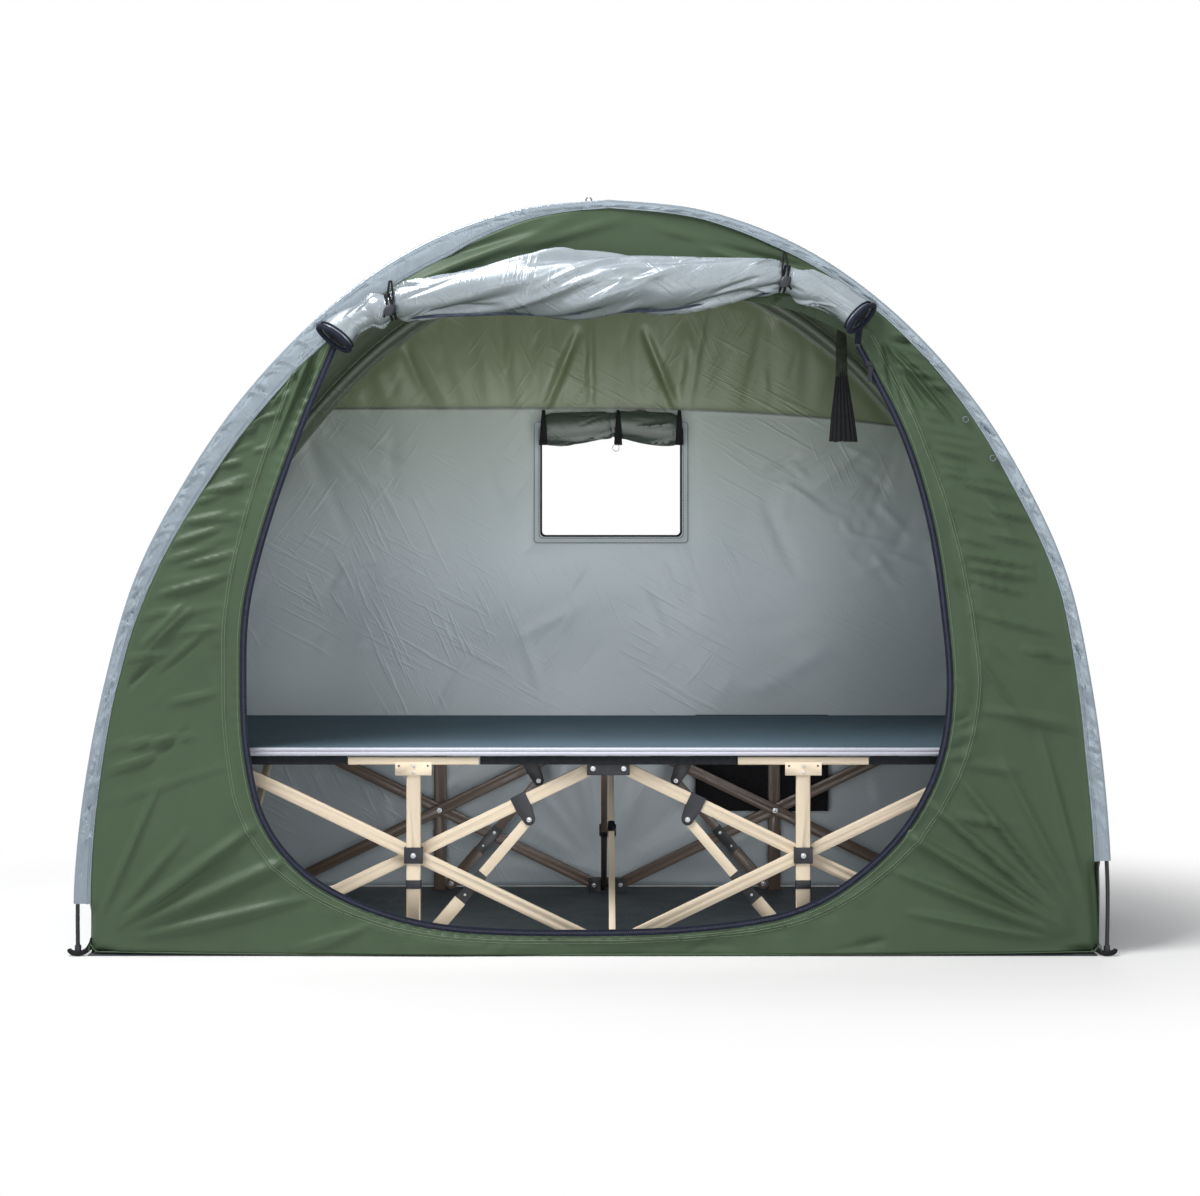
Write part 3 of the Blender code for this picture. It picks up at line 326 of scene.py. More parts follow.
def powder_coat(name, light, mid, rubbed):
    """Powder coat: a faint orange peel and rubbed spots."""
    made = Finish(name, 0.42)
    rub = made.shared(made.noise(24.0, 5.0, 0.7), 0.62, 0.74)
    base = made.mix(mid, light, made.noise(6.0, 3.0))
    made.set("Base Color", made.mix(base, rubbed, rub * 0.5))
    made.set("Roughness", made.shared(made.noise(60.0, 3.0), 0.3, 0.7, 0.36, 0.5))
    made.set("Normal", made.bump(made.noise(900.0, 2.0), 0.12, 0.0002))
    return made.material


def moulded_plastic(name, colour, roughness=0.48):
    """Moulded nylon with a fine grain and paler rubbed patches."""
    made = Finish(name, roughness)
    rub = made.shared(made.noise(45.0, 4.0, 0.7), 0.55, 0.75)
    pale = tuple(c * 2.2 + 0.006 for c in colour[:3]) + (1.0,)
    made.set("Base Color", made.mix(colour, pale, rub * 0.4))
    made.set("Roughness", made.shared(made.noise(30.0, 3.0), 0.3, 0.7, roughness - 0.08, roughness + 0.1))
    made.set("Normal", made.bump(made.noise(1400.0, 2.0), 0.1, 0.0002))
    return made.material


def metal(name, colour, roughness=0.3):
    """Plated steel with fine scratches and dull spots."""
    made = Finish(name, roughness, 1.0)
    dull = made.shared(made.noise(80.0, 4.0, 0.7), 0.45, 0.75)
    made.set("Base Color", made.mix(colour, dimmed(colour, 0.6), dull * 0.5))
    made.set("Roughness", made.shared(made.noise(150.0, 3.0), 0.3, 0.7, roughness - 0.06, roughness + 0.15))
    made.set("Normal", made.bump(made.noise(600.0, 3.0), 0.1, 0.0001))
    return made.material


def glass_fibre():
    """Black pole rod with fine lines along it."""
    made = Finish("pole_rod", 0.32)
    drawn_out = made.add("Mapping", None, {"Vector": made.place, "Scale": (900.0, 900.0, 20.0)})
    lines = made.noise(1.0, 3.0, 0.6, drawn_out)
    made.set("Base Color", made.mix(srgb(18, 19, 21), srgb(40, 42, 46), lines * 0.6))
    made.set("Roughness", made.shared(lines, 0.3, 0.7, 0.26, 0.42))
    made.set("Normal", made.bump(lines, 0.15, 0.0002))
    return made.material


def webbing(name, colour):
    """Ribbed tape, a little worn."""
    made = Finish(name, 0.8, Sheen_Weight=0.04, Specular_IOR_Level=0.2)
    rib_pitch = 0.0016
    ribs = (made.z + made.x * 0.4) * (2 * pi / rib_pitch)
    worn = made.shared(made.noise(90.0, 3.0), 0.3, 0.7)
    made.set("Base Color", made.mix(dimmed(colour, 0.6), colour, worn))
    made.set("Normal", made.bump(ribs.maths("SINE", ribs), 0.35, 0.0003))
    return made.material


def thread(name, colour):
    """Matt thread or cord."""
    made = Finish(name, 0.6)
    made.set("Base Color", made.mix(colour, dimmed(colour, 0.7), made.noise(300.0, 2.0)))
    return made.material


def bed_weave():
    """Dense woven bed cloth: plain weave, slightly dusty."""
    made = Finish("bed_weave", 0.8, Specular_IOR_Level=0.12)
    dust = made.shared(made.noise(5.0, 5.0, 0.65), 0.4, 0.75)
    fleck = made.noise(420.0, 2.0)
    base = made.mix(srgb(64, 80, 91), srgb(82, 100, 112), fleck)
    made.set("Base Color", made.mix(base, srgb(88, 102, 114), dust * 0.3))
    soft = made.bump(made.noise(14.0, 3.0), 0.25, 0.004)
    made.set("Normal", made.bump(crossed(made.x, made.y, 2 * THREADS), 0.3, 0.0004, soft))
    return made.material


MATERIALS = {
    "green": cloth("green_cloth", srgb(71, 89, 67), 0.92, 0.42, 0.0, 0.0, Specular_IOR_Level=0.22),
    "silver": cloth("silver_cloth", srgb(146, 159, 169), 0.88, 0.22, 0.36, 0.14, 0.9),
    # The rolled door's faces that look down are painted darker: painted shade of its underside.
    "rolled": cloth("rolled_door_cloth", srgb(168, 178, 186), 0.86, 0.22, 0.42, 0.3, 0.8,
                    under=srgb(96, 106, 104)),
    "roof_inner": cloth("roof_inner_cloth", srgb(80, 91, 72), 0.85, 0.5, 0.0, 0.15),
    "back_inner": back_cloth(),
    "flap": cloth("window_flap_cloth", srgb(66, 76, 68), 0.85, 0.24, 0.1, 0.15, 0.5),
    "facing": cloth("window_facing_cloth", srgb(154, 165, 169), 0.94, 0.4, 0.0, 0.05),
    "ground": cloth("ground_cloth", srgb(72, 80, 84), 0.8, 0.55, 0.0, 0.3),
    "bed": bed_weave(),
    "hem": webbing("hem_tape", srgb(40, 43, 48)),
    "piping": thread("white_piping", srgb(198, 200, 213)),
    "binding": webbing("black_binding", srgb(30, 32, 40)),
    "zip": webbing("zip_tape", srgb(32, 37, 54)),
    "coil": moulded_plastic("zip_coil", srgb(62, 66, 84), 0.35),
    "strap": webbing("black_strap", srgb(24, 25, 28)),
    "strap_green": webbing("green_strap", srgb(52, 60, 48)),
    # Navy for the strip under the rolled door: painted shade of the roll's underside.
    "roll_edge": webbing("roll_edge", srgb(78, 86, 104)),
    "green_thread": thread("green_thread", srgb(150, 166, 142)),
    "grey_thread": thread("grey_thread", srgb(112, 120, 126)),
    "beige": powder_coat("beige_powder_coat", srgb(230, 214, 190), srgb(222, 206, 181),
                         srgb(196, 180, 154)),
    # A darker copy of the beige coat for the far row and the falling cross bars: painted shade, as they look
    # under the bed.
    "beige_painted_shade": powder_coat("brown_powder_coat", srgb(104, 88, 77), srgb(94, 79, 69), srgb(70, 60, 53)),
    "plastic": moulded_plastic("black_nylon", srgb(30, 32, 38)),
    "steel": metal("rivet_steel", srgb(196, 198, 202)),
    "dark_steel": metal("zip_steel", srgb(52, 54, 60), 0.42),
    "rod": glass_fibre(),
    "elastic": webbing("black_elastic", srgb(28, 29, 33)),
}


# Meshes

def linked(name, data):
    """A new object in the scene, of a mesh, a lamp or a camera."""
    made = bpy.data.objects.new(name, data)
    bpy.context.collection.objects.link(made)
    return made


def piece(name, points, faces, body, finish):
    """A piece that rides on a body: a closed form, or a sheet that gets its thickness later."""
    mesh = bpy.data.meshes.new(name)
    corners = [tuple(float(c) for c in point) for point in points]
    mesh.from_pydata(corners, [], [tuple(int(i) for i in face) for face in faces])
    mesh.materials.append(MATERIALS[finish])
    mesh.shade_smooth()
    made = linked(name, mesh)
    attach(made, body)
    return made


def grid_faces(rows, columns, loop_rows=False, loop_columns=False, flip=False):
    """The four-sided faces of a grid of points, which may close on itself either way."""
    faces = []
    for i in range(rows if loop_rows else rows - 1):
        for j in range(columns if loop_columns else columns - 1):
            a, b = i * columns + j, i * columns + (j + 1) % columns
            c, d = (i + 1) % rows * columns + (j + 1) % columns, (i + 1) % rows * columns + j
            faces.append((a, d, c, b) if flip else (a, b, c, d))
    return faces


def two_sided(upper, lower):
    """The points and faces of a closed form between two grids, joined all round their edges."""
    rows, columns = upper.shape[:2]
    count = rows * columns
    faces = grid_faces(rows, columns)
    faces += [tuple(i + count for i in face) for face in grid_faces(rows, columns, flip=True)]
    rim = [i * columns for i in range(rows)]
    rim += [(rows - 1) * columns + j for j in range(1, columns)]
    rim += [i * columns + columns - 1 for i in range(rows - 2, -1, -1)]
    rim += list(range(columns - 2, 0, -1))
    for a, b in zip(rim, rim[1:] + rim[:1]):
        faces.append((a, b, b + count, a + count))
    return np.concatenate((upper.reshape(-1, 3), lower.reshape(-1, 3))), faces


def outward(mesh):
    """Turns all faces of a closed mesh outward."""
    form = bmesh.new()
    form.from_mesh(mesh)
    bmesh.ops.recalc_face_normals(form, faces=form.faces)
    form.to_mesh(mesh)
    form.free()


def lofted(name, rings, body, finish, closed=False):
    """A tube through rings of points, capped at both ends unless it is closed on itself."""
    rings = np.asarray(rings)
    count, sides = rings.shape[:2]
    faces = grid_faces(count, sides, loop_rows=closed, loop_columns=True)
    if not closed:
        faces.append(tuple(range(sides - 1, -1, -1)))
        faces.append(tuple((count - 1) * sides + k for k in range(sides)))
    made = piece(name, rings.reshape(-1, 3), faces, body, finish)
    outward(made.data)
    made.data.set_sharp_from_angle(angle=radians(50))
    return made


def thickened(made, thickness, inner=None):
    """Gives a sheet its thickness, away from the side that its faces point to."""
    change = made.modifiers.new("thickness", "SOLIDIFY")
    change.thickness = thickness
    change.offset = -1
    change.use_even_offset = False
    if inner:
        made.data.materials.append(MATERIALS[inner])
        change.material_offset = 1
    return made


def frames(path, closed=False):
    """Along a path: the way, and two directions square to it that don't spin."""
    path = np.asarray(path, float)
    if closed:
        ways = np.roll(path, -1, 0) - np.roll(path, 1, 0)
    else:
        ways = np.gradient(path, axis=0)
    ways /= np.linalg.norm(ways, axis=1)[:, None]
    start = np.array((0.0, 1.0, 0.0)) if abs(ways[0][1]) < 0.9 else np.array((1.0, 0.0, 0.0))
    sides = []
    for way in ways:
        start = start - way * start.dot(way)
        start = start / np.linalg.norm(start)
        sides.append(start)
    sides = np.array(sides)
    return ways, sides, np.cross(ways, sides)


def tube(name, path, radius, body, finish, sides=8, closed=False, flat=1.0):
    """A round or flattened cord along a path; radius may change along it."""
    path = np.asarray(path, float)
    _, first, second = frames(path, closed)
    radius = np.broadcast_to(np.asarray(radius, float), (len(path),))
    turns = np.linspace(0, 2 * pi, sides, endpoint=False)
    rings = (path[:, None] + first[:, None] * (radius[:, None] * np.cos(turns))[..., None] * flat
             + second[:, None] * (radius[:, None] * np.sin(turns))[..., None])
    return lofted(name, rings, body, finish, closed)


def rounded_profile(width, height, corner, steps=4):
    """A rectangle with round corners, as points about its middle."""
    points = []
    for k, (sx, sy) in enumerate(((1, 1), (-1, 1), (-1, -1), (1, -1))):
        for i in range(steps + 1):
            turn = (k + i / steps) * pi / 2
            points.append((sx * (width / 2 - corner) + corner * cos(turn),
                           sy * (height / 2 - corner) + corner * sin(turn)))
    return points


# Curves

def smooth(points, steps):
    """A curve through the points, with even steps between them."""
    ends = [points[0], *points, points[-1]]
    found = []
    for a, b, c, d in zip(ends, ends[1:], ends[2:], ends[3:]):
        a, b, c, d = (np.array(p, float) for p in (a, b, c, d))
        for k in range(steps):
            t = k / steps
            found.append((2 * b + (c - a) * t + (2 * a - 5 * b + 4 * c - d) * t ** 2
                          + (3 * b - a - 3 * c + d) * t ** 3) / 2)
    found.append(np.array(points[-1], float))
    return np.array(found)


def lengths(points):
    """How far each point lies along its line."""
    return np.concatenate(([0], np.cumsum(np.linalg.norm(np.diff(points, axis=0), axis=1))))


def even(points, count):
    """The same line with its points evenly spaced."""
    run = lengths(points)
    stops = np.linspace(0, run[-1], count)
    return np.stack([np.interp(stops, run, points[:, k]) for k in range(points.shape[1])], 1)


def sideways(points):
    """Directions square to a flat line, to its left."""
    ways = np.gradient(points, axis=0)
    ways /= np.linalg.norm(ways, axis=1)[:, None]
    return np.stack([-ways[:, 1], ways[:, 0]], 1)


def arch(count):
    """The arch from the right foot over the crown to the left foot, and its inward normals."""
    half = smooth([(x * HALF_LENGTH, z * TENT_HEIGHT) for x, z in ARCH], 8)
    other = half[::-1][1:] * (-1, 1)
    line = even(np.concatenate((half, other)), count)
    line[:, 0] += lean(line[:, 1])
    return line, sideways(line)


def lean(level):
    """How far the arch leans to the right at a level, as photographed."""
    return ARCH_LEAN * ease(level, 0.0, LEAN_TOP)


def band(x, z):
    """How wide the pole's sleeve shows at a place of the arch: narrow over the crown, wider at the sides."""
    left, right = (np.interp(z, *np.array(BANDS[side]).T) for side in (-1, 1))
    return np.where(np.asarray(x) < ARCH_LEAN, left, right)


def zip_line(count):
    """The zip's middle line, from its upper left end down and round to its upper right end."""
    return even(smooth([(a * DOOR_HALF_WIDTH, b * DOOR_TOP) for a, b in DOOR], 6), count)


def zip_halves():
    """The zip's two upright sides, from its lowest point up, keyed by side."""
    line = zip_line(400)
    low = int(line[:, 1].argmin())
    return {-1: line[:low + 1][::-1], 1: line[low:]}


def door_rim(amount):
    """A closed line round the doorway, this far outside the zip's middle."""
    rim = zip_line(400)
    rim = rim - sideways(rim) * amount
    top = [(a * DOOR_HALF_WIDTH, b * DOOR_TOP) for a, b in LINTEL]
    lintel = smooth([tuple(rim[-1]), *top, tuple(rim[0])], 8)
    return np.concatenate((rim, lintel[1:-1]))


def rays(outline, centre, angles):
    """Where rays from the centre meet a closed outline."""
    turned = np.arctan2(outline[:, 1] - centre[1], outline[:, 0] - centre[0])
    reach = np.hypot(outline[:, 1] - centre[1], outline[:, 0] - centre[0])
    order = np.argsort(turned)
    turned, reach = turned[order], reach[order]
    x, z = reach * np.cos(turned), reach * np.sin(turned)
    turned = np.concatenate((turned[-1:] - 2 * pi, turned, turned[:1] + 2 * pi))
    x, z = (np.concatenate((v[-1:], v, v[:1])) for v in (x, z))
    k = np.clip(np.searchsorted(turned, angles, side="right"), 1, len(turned) - 1)
    ax, az, bx, bz = x[k - 1], z[k - 1], x[k], z[k]
    dx, dz = np.cos(angles), np.sin(angles)
    cross = dx * (bz - az) - dz * (bx - ax)
    cross = np.where(np.abs(cross) < 1e-9, 1e-9, cross)
    reach = (ax * (bz - az) - az * (bx - ax)) / cross
    return np.stack((centre[0] + dx * reach, centre[1] + dz * reach), 1)


# Folds in cloth

class Folds:
    """Soft ridges and hollows of a cloth, in its own plane."""

    def __init__(self, seed):
        self.random = random.Random(seed)
        self.rows = []

    def line(self, a, b, width, height):
        """One fold between two points."""
        self.rows.append((*a, *b, width, height))

    def fan(self, origin, start, end, count, near, far, width, height):
        """Folds that spread from a point, between two angles in degrees."""
        for k in range(count):
            turn = radians(start + (end - start) * (k + self.random.uniform(-0.3, 0.3)) / max(count - 1, 1))
            low = near * self.random.uniform(0.6, 1.3)
            high = far * self.random.uniform(0.55, 1.1)
            a = (origin[0] + low * cos(turn), origin[1] + low * sin(turn))
            b = (origin[0] + high * cos(turn + 0.08), origin[1] + high * sin(turn + 0.08))
            self.line(a, b, width * self.random.uniform(0.7, 1.4), height * self.random.uniform(-1, 1))

    def scatter(self, box, count, length, width, height, turn, spread):
        """Short creases strewn in a box, mostly along one angle in degrees."""
        for _ in range(count):
            x, z = self.random.uniform(box[0], box[1]), self.random.uniform(box[2], box[3])
            way = radians(turn + self.random.uniform(-spread, spread))
            reach = length * self.random.uniform(0.4, 1.2) / 2
            shift_x, shift_z = reach * cos(way), reach * sin(way)
            self.line((x - shift_x, z - shift_z), (x + shift_x, z + shift_z),
                      width * self.random.uniform(0.6, 1.4), height * self.random.uniform(-1, 1))

    def height(self, x, z):
        """How high the folds stand at each place."""
        found = np.zeros_like(x)
        for ax, az, bx, bz, width, height in self.rows:
            length = hypot(bx - ax, bz - az)
            dx, dz = (bx - ax) / length, (bz - az) / length
            along = ((x - ax) * dx + (z - az) * dz) / length
            across = (x - ax) * dz - (z - az) * dx
            inside = (along > 0) & (along < 1)
            window = np.sin(pi * np.clip(along, 0, 1)) ** 0.8
            found += np.where(inside, height * window * np.exp(-(across / width) ** 2), 0)
        return found

    def swell(self, x, z, size, height, count=6):
        """A slow, uneven rise and fall."""
        found = np.zeros_like(x)
        for _ in range(count):
            way, phase = self.random.uniform(0, pi), self.random.uniform(0, 2 * pi)
            pitch = size * self.random.uniform(0.7, 1.5)
            found += np.sin((x * cos(way) + z * sin(way)) * 2 * pi / pitch + phase)
        return found * height / count


def ease(values, low, high):
    """0 below the low value, 1 above the high one, and a smooth step between them."""
    t = np.clip((values - low) / (high - low), 0, 1)
    return t * t * (3 - 2 * t)


# Repeats along lines and at points

class Tree(Graph):
    """A Geometry Nodes tree with named inputs that ends in one material."""

    prefix = "GeometryNode"

    def __init__(self, name, **inputs):
        super().__init__(bpy.data.node_groups.new(name, "GeometryNodeTree"))
        interface = self.tree.interface
        for label, kind in {"Geometry": "Geometry", **inputs, "Material": "Material"}.items():
            interface.new_socket(label, in_out="INPUT", socket_type="NodeSocket" + kind)
        interface.new_socket("Geometry", in_out="OUTPUT", socket_type="NodeSocketGeometry")
        self.source = self.tree.nodes.new("NodeGroupInput")

    def given(self, label):
        return Wire(self, self.source.outputs[label])

    def vector(self, x, y, z):
        return self.add("ShaderNodeCombineXYZ", None, {0: x, 1: y, 2: z})

    def along_lines(self, item):
        """Sets an item at even steps along each line, and ends the tree."""
        curve = self.add("MeshToCurve", None, {0: self.given("Geometry")})
        steps = self.tree.nodes.new("GeometryNodeCurveToPoints")
        steps.mode = "LENGTH"
        self.feed(steps.inputs["Curve"], curve)
        self.feed(steps.inputs["Length"], self.given("Pitch"))
        return self.placed(item, *(Wire(self, steps.outputs[label]) for label in ("Points", "Rotation")))

    def placed(self, item, points, turn):
        """Sets an item at each point, as plain geometry in the given material, and ends the tree."""
        laid = self.add("InstanceOnPoints", None, {"Points": points, "Instance": item, "Rotation": turn})
        real = self.add("RealizeInstances", None, {0: laid})
        painted = self.add("SetMaterial", None, {"Geometry": real, "Material": self.given("Material")})
        target = self.tree.nodes.new("NodeGroupOutput")
        self.feed(target.inputs[0], painted)
        return self.tree


def stitch_tree():
    """Stitches of one length and pitch along lines."""
    made = Tree("stitches", Pitch="Float", Length="Float", Radius="Float")
    sizes = {"Vertices": 5, "Radius": made.given("Radius"), "Depth": made.given("Length")}
    return made.along_lines(made.add("MeshCylinder", {"fill_type": "TRIANGLE_FAN"}, sizes))


def tooth_tree():
    """Teeth of a coil zip across lines."""
    made = Tree("zip teeth", Pitch="Float", Width="Float", Height="Float")
    tooth_length = 0.0018
    size = made.vector(made.given("Height"), made.given("Width"), tooth_length)
    return made.along_lines(made.add("MeshCube", None, {"Size": size}))


def rivet_tree():
    """A rivet at each point: a washer and a domed head, with its axis along Z before it is turned."""
    made = Tree("rivets", Radius="Float", Height="Float", Turn="Vector")
    radius, height = made.given("Radius"), made.given("Height")
    washer = made.add("MeshCone", {"fill_type": "TRIANGLE_FAN"},
                      {"Vertices": 20, "Radius Top": radius * 0.9, "Radius Bottom": radius,
                       "Depth": height * 0.5})
    dome = made.add("MeshUVSphere", None, {"Segments": 16, "Rings": 8, "Radius": radius * 0.62})
    head = made.add("Transform", None, {"Geometry": dome, "Scale": made.vector(1.0, 1.0, 0.36),
                                        "Translation": made.vector(0.0, 0.0, height * 0.5)})
    joined = made.tree.nodes.new("GeometryNodeJoinGeometry")
    made.feed(joined.inputs[0], washer)
    made.feed(joined.inputs[0], head)
    return made.placed(Wire(made, joined.outputs[0]), made.given("Geometry"), made.given("Turn"))


TREES = {"stitches": stitch_tree(), "teeth": tooth_tree(), "rivets": rivet_tree()}


def with_changes(base):
    """A new mesh of an object as its modifiers leave it."""
    graph = bpy.context.evaluated_depsgraph_get()
    return bpy.data.meshes.new_from_object(base.evaluated_get(graph))


def repeated(name, tree, lines, body, finish, **inputs):
    """What a tree makes along lines of points, as one plain mesh that rides on a body."""
    points, edges = [], []
    for line in lines:
        start = len(points)
        points += [tuple(float(c) for c in p) for p in line]
        edges += [(start + k, start + k + 1) for k in range(len(line) - 1)]
    mesh = bpy.data.meshes.new(name)
    mesh.from_pydata(points, edges if tree != "rivets" else [], [])
    base = linked(name + "_line", mesh)
    change = base.modifiers.new("repeat", "NODES")
    change.node_group = TREES[tree]
    sockets = TREES[tree].interface.items_tree
    names = {socket.name: socket.identifier for socket in sockets if socket.in_out == "INPUT"}
    for label, value in inputs.items():
        change[names[label]] = value
    change[names["Material"]] = MATERIALS[finish]
    plain = with_changes(base)
    bpy.data.objects.remove(base)
    made = linked(name, plain)
    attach(made, body)


def stitched(name, lines, finish="green_thread", pitch=0.0048, length=0.0034, radius=0.00045):
    """Stitches in the tent's cloth along lines."""
    repeated(name, "stitches", lines, "tent", finish, Pitch=pitch, Length=length, Radius=radius)


# Tent

def sleeve_end(x):
    """The level at which the pole's sleeve ends on this side."""
    return SLEEVE_END[1] if x > 0 else SLEEVE_END[-1]


def skirt_inset(x):
    """How far inside the arch the roof's foot stands on this side."""
    return SKIRT_INSET[1] if x > 0 else SKIRT_INSET[-1]


def wall_outline(inset=None, lift=0.008):
    """An end wall's edge, this far inside the arch or at its sleeve, and its hem, lifted at the corners."""

    def hem(x):
        """The hem's level at a place along the wall."""
        return 0.003 + lift * abs(x / HALF_LENGTH) ** 3

    line, normals = arch(900)
    edge = []
    for (x, z), (nx, nz) in zip(line, normals):
        depth = float(band(x, z)) - 0.001 if inset is None else inset
        if z < sleeve_end(x):
            foot = skirt_inset(x) + 0.0015
            depth = foot + (depth - foot) * z / sleeve_end(x) if inset is None else foot
        edge.append((x + nx * depth, max(z + nz * depth, hem(x))))
    low = [(x, hem(x)) for x in np.linspace(edge[-1][0], edge[0][0], 160)[1:-1]]
    return np.array(edge + low)


# Folds that rise from the front wall's feet: angle, start, end, width and height
CORNER_FOLDS = {
    -1: ((36, 0.07, 0.46, 0.015, 0.013), (24, 0.09, 0.55, 0.017, 0.011), (13, 0.1, 0.5, 0.014, 0.008),
         (49, 0.07, 0.34, 0.012, 0.006), (66, 0.06, 0.4, 0.012, 0.006)),
    1: ((31, 0.06, 0.56, 0.015, 0.016), (41, 0.07, 0.52, 0.014, 0.014), (51, 0.09, 0.5, 0.013, 0.012),
        (21, 0.07, 0.48, 0.014, 0.011), (11, 0.1, 0.42, 0.012, 0.007), (63, 0.09, 0.46, 0.012, 0.007),
        (75, 0.08, 0.5, 0.012, 0.005)),
}
FOLD_WIDTH = 0.66
FOLD_DEPTH = 1.6
# Folds below the crown: start, end, width and height
CROWN_FOLDS = (
    ((-0.62, 1.33), (-0.02, 1.575), 0.014, 0.013), ((-0.52, 1.43), (-0.08, 1.55), 0.011, -0.01),
    ((-0.6, 1.345), (-0.2, 1.47), 0.009, 0.006), ((0.6, 1.37), (0.1, 1.565), 0.012, 0.009),
    ((0.5, 1.45), (0.16, 1.53), 0.01, -0.008), ((-0.2, 1.49), (0.08, 1.57), 0.012, 0.006),
)


def front_folds():
    """The green wall's folds: from the feet, from the crown's seam, and between sleeve and seam."""
    made = Folds(11)
    for side, folds in CORNER_FOLDS.items():
        for turn, near, far, width, height in folds:
            way = np.array((-side * cos(radians(turn)), sin(radians(turn))))
            foot = np.array((side * 1.075, 0.015))
            made.line(foot + way * near, foot + way * far, FOLD_WIDTH * width, height)
    for start, finish, width, height in CROWN_FOLDS:
        made.line(start, finish, width, 0.5 * height)
    made.fan((-0.585, 1.3), 175, 258, 13, 0.01, 0.24, 0.006, 0.009)
    made.fan((0.615, 1.31), -82, 10, 14, 0.01, 0.26, 0.006, 0.01)
    stretches = ((-1, 0.7, 1.26, 26), (1, 0.8, 1.3, 20), (-1, 0.3, 0.7, 5), (1, 0.3, 0.8, 6))
    for side, low, high, count in stretches:
        for k in range(count):
            z = low + (high - low) * (k + made.random.uniform(-0.3, 0.3)) / count
            edge = float(np.interp(z, ARCH_LEVELS, ARCH_REACH)) + side * lean(z) - float(band(side, z))
            seam = float(np.interp(z, ZIP_LEVELS[side], ZIP_REACH[side])) + 0.05
            a, b = (edge, seam) if made.random.random() < 0.5 else (seam, edge)
            share = made.random.uniform(0.45, 1.0)
            rise = made.random.uniform(0.12, 0.32) * abs(a - b) * (1 if a > b else -1)
            made.line((side * a, z), (side * (a + (b - a) * share), z + rise * share),
                      made.random.uniform(0.0045, 0.007), made.random.uniform(0.2, 1.0) * 0.0075)
    made.scatter((-0.96, -0.84, 0.44, 0.7), 9, 0.14, 0.006, 0.007, 42, 10)
    made.scatter((0.78, 0.95, 0.5, 0.95), 8, 0.18, 0.007, 0.005, 128, 12)
    made.scatter((0.72, 0.8, 0.36, 0.5), 6, 0.09, 0.006, 0.008, 5, 10)
    made.scatter((-0.7, 0.7, 0.01, 0.05), 12, 0.14, 0.007, 0.005, 20, 35)
    return made


ARCH_REACH, ARCH_LEVELS = smooth([(x * HALF_LENGTH, z * TENT_HEIGHT) for x, z in ARCH], 8).T
ZIP_REACH = {side: np.abs(half[:, 0]) for side, half in zip_halves().items()}
ZIP_LEVELS = {side: half[:, 1] for side, half in zip_halves().items()}
FRONT_FOLDS = front_folds()
RIM = door_rim(ZIP_WIDTH / 2)


def rim_distance(x, z):
    """How far each point is from the doorway's edge, and where along the edge."""
    rim = RIM[::3]
    shape = np.shape(x)
    flat = np.stack((np.ravel(x), np.ravel(z)), 1)
    near, index = np.empty(len(flat)), np.empty(len(flat), int)
    batch = 4000
    for start in range(0, len(flat), batch):
        gaps = np.linalg.norm(flat[start:start + batch, None] - rim[None], axis=2)
        index[start:start + batch] = gaps.argmin(1)
        near[start:start + batch] = gaps.min(1)
    run = lengths(rim)[index]
    return near.reshape(shape), run.reshape(shape)


# How far outside the doorway the seam runs, at levels up the wall
SEAM_OFFSETS = {
    -1: ((0.04, 0.012), (0.12, 0.02), (0.2, 0.03), (0.35, 0.036), (0.75, 0.037), (1.0, 0.045), (1.31, 0.052)),
    1: ((0.04, 0.012), (0.12, 0.02), (0.33, 0.036), (0.48, 0.05), (0.58, 0.056), (0.75, 0.05), (1.07, 0.028),
        (1.31, 0.028)),
}


def seam_offset(x, z):
    """The seam's distance from the doorway: close by at the foot, further out beside the opening."""
    left, right = (np.interp(z, *np.array(SEAM_OFFSETS[side]).T) for side in (-1, 1))
    return np.where(x < 0, left, right)


def front_relief(x, z):
    """How far the green wall stands out of its plane."""
    x, z = np.asarray(x, float), np.asarray(z, float)
    gap, run = rim_distance(x, z)
    found = FOLD_DEPTH * FRONT_FOLDS.height(x, z)
    wave = Folds(5).swell(x, z, 0.55, 0.014)
    seam = seam_offset(x, z)
    pucker_pitch = 0.034
    rhythm = np.sin(run * 2 * pi / pucker_pitch + 2.1 * np.sin(run * 7))
    pucker = rhythm * np.exp(-((gap - seam - 0.01) / 0.018) ** 2) * 0.002
    ridge = np.exp(-((gap - seam) / 0.005) ** 2) * 0.0022
    inside = ease(gap, 0.0, 0.03)
    return (found + wave) * inside + pucker + ridge


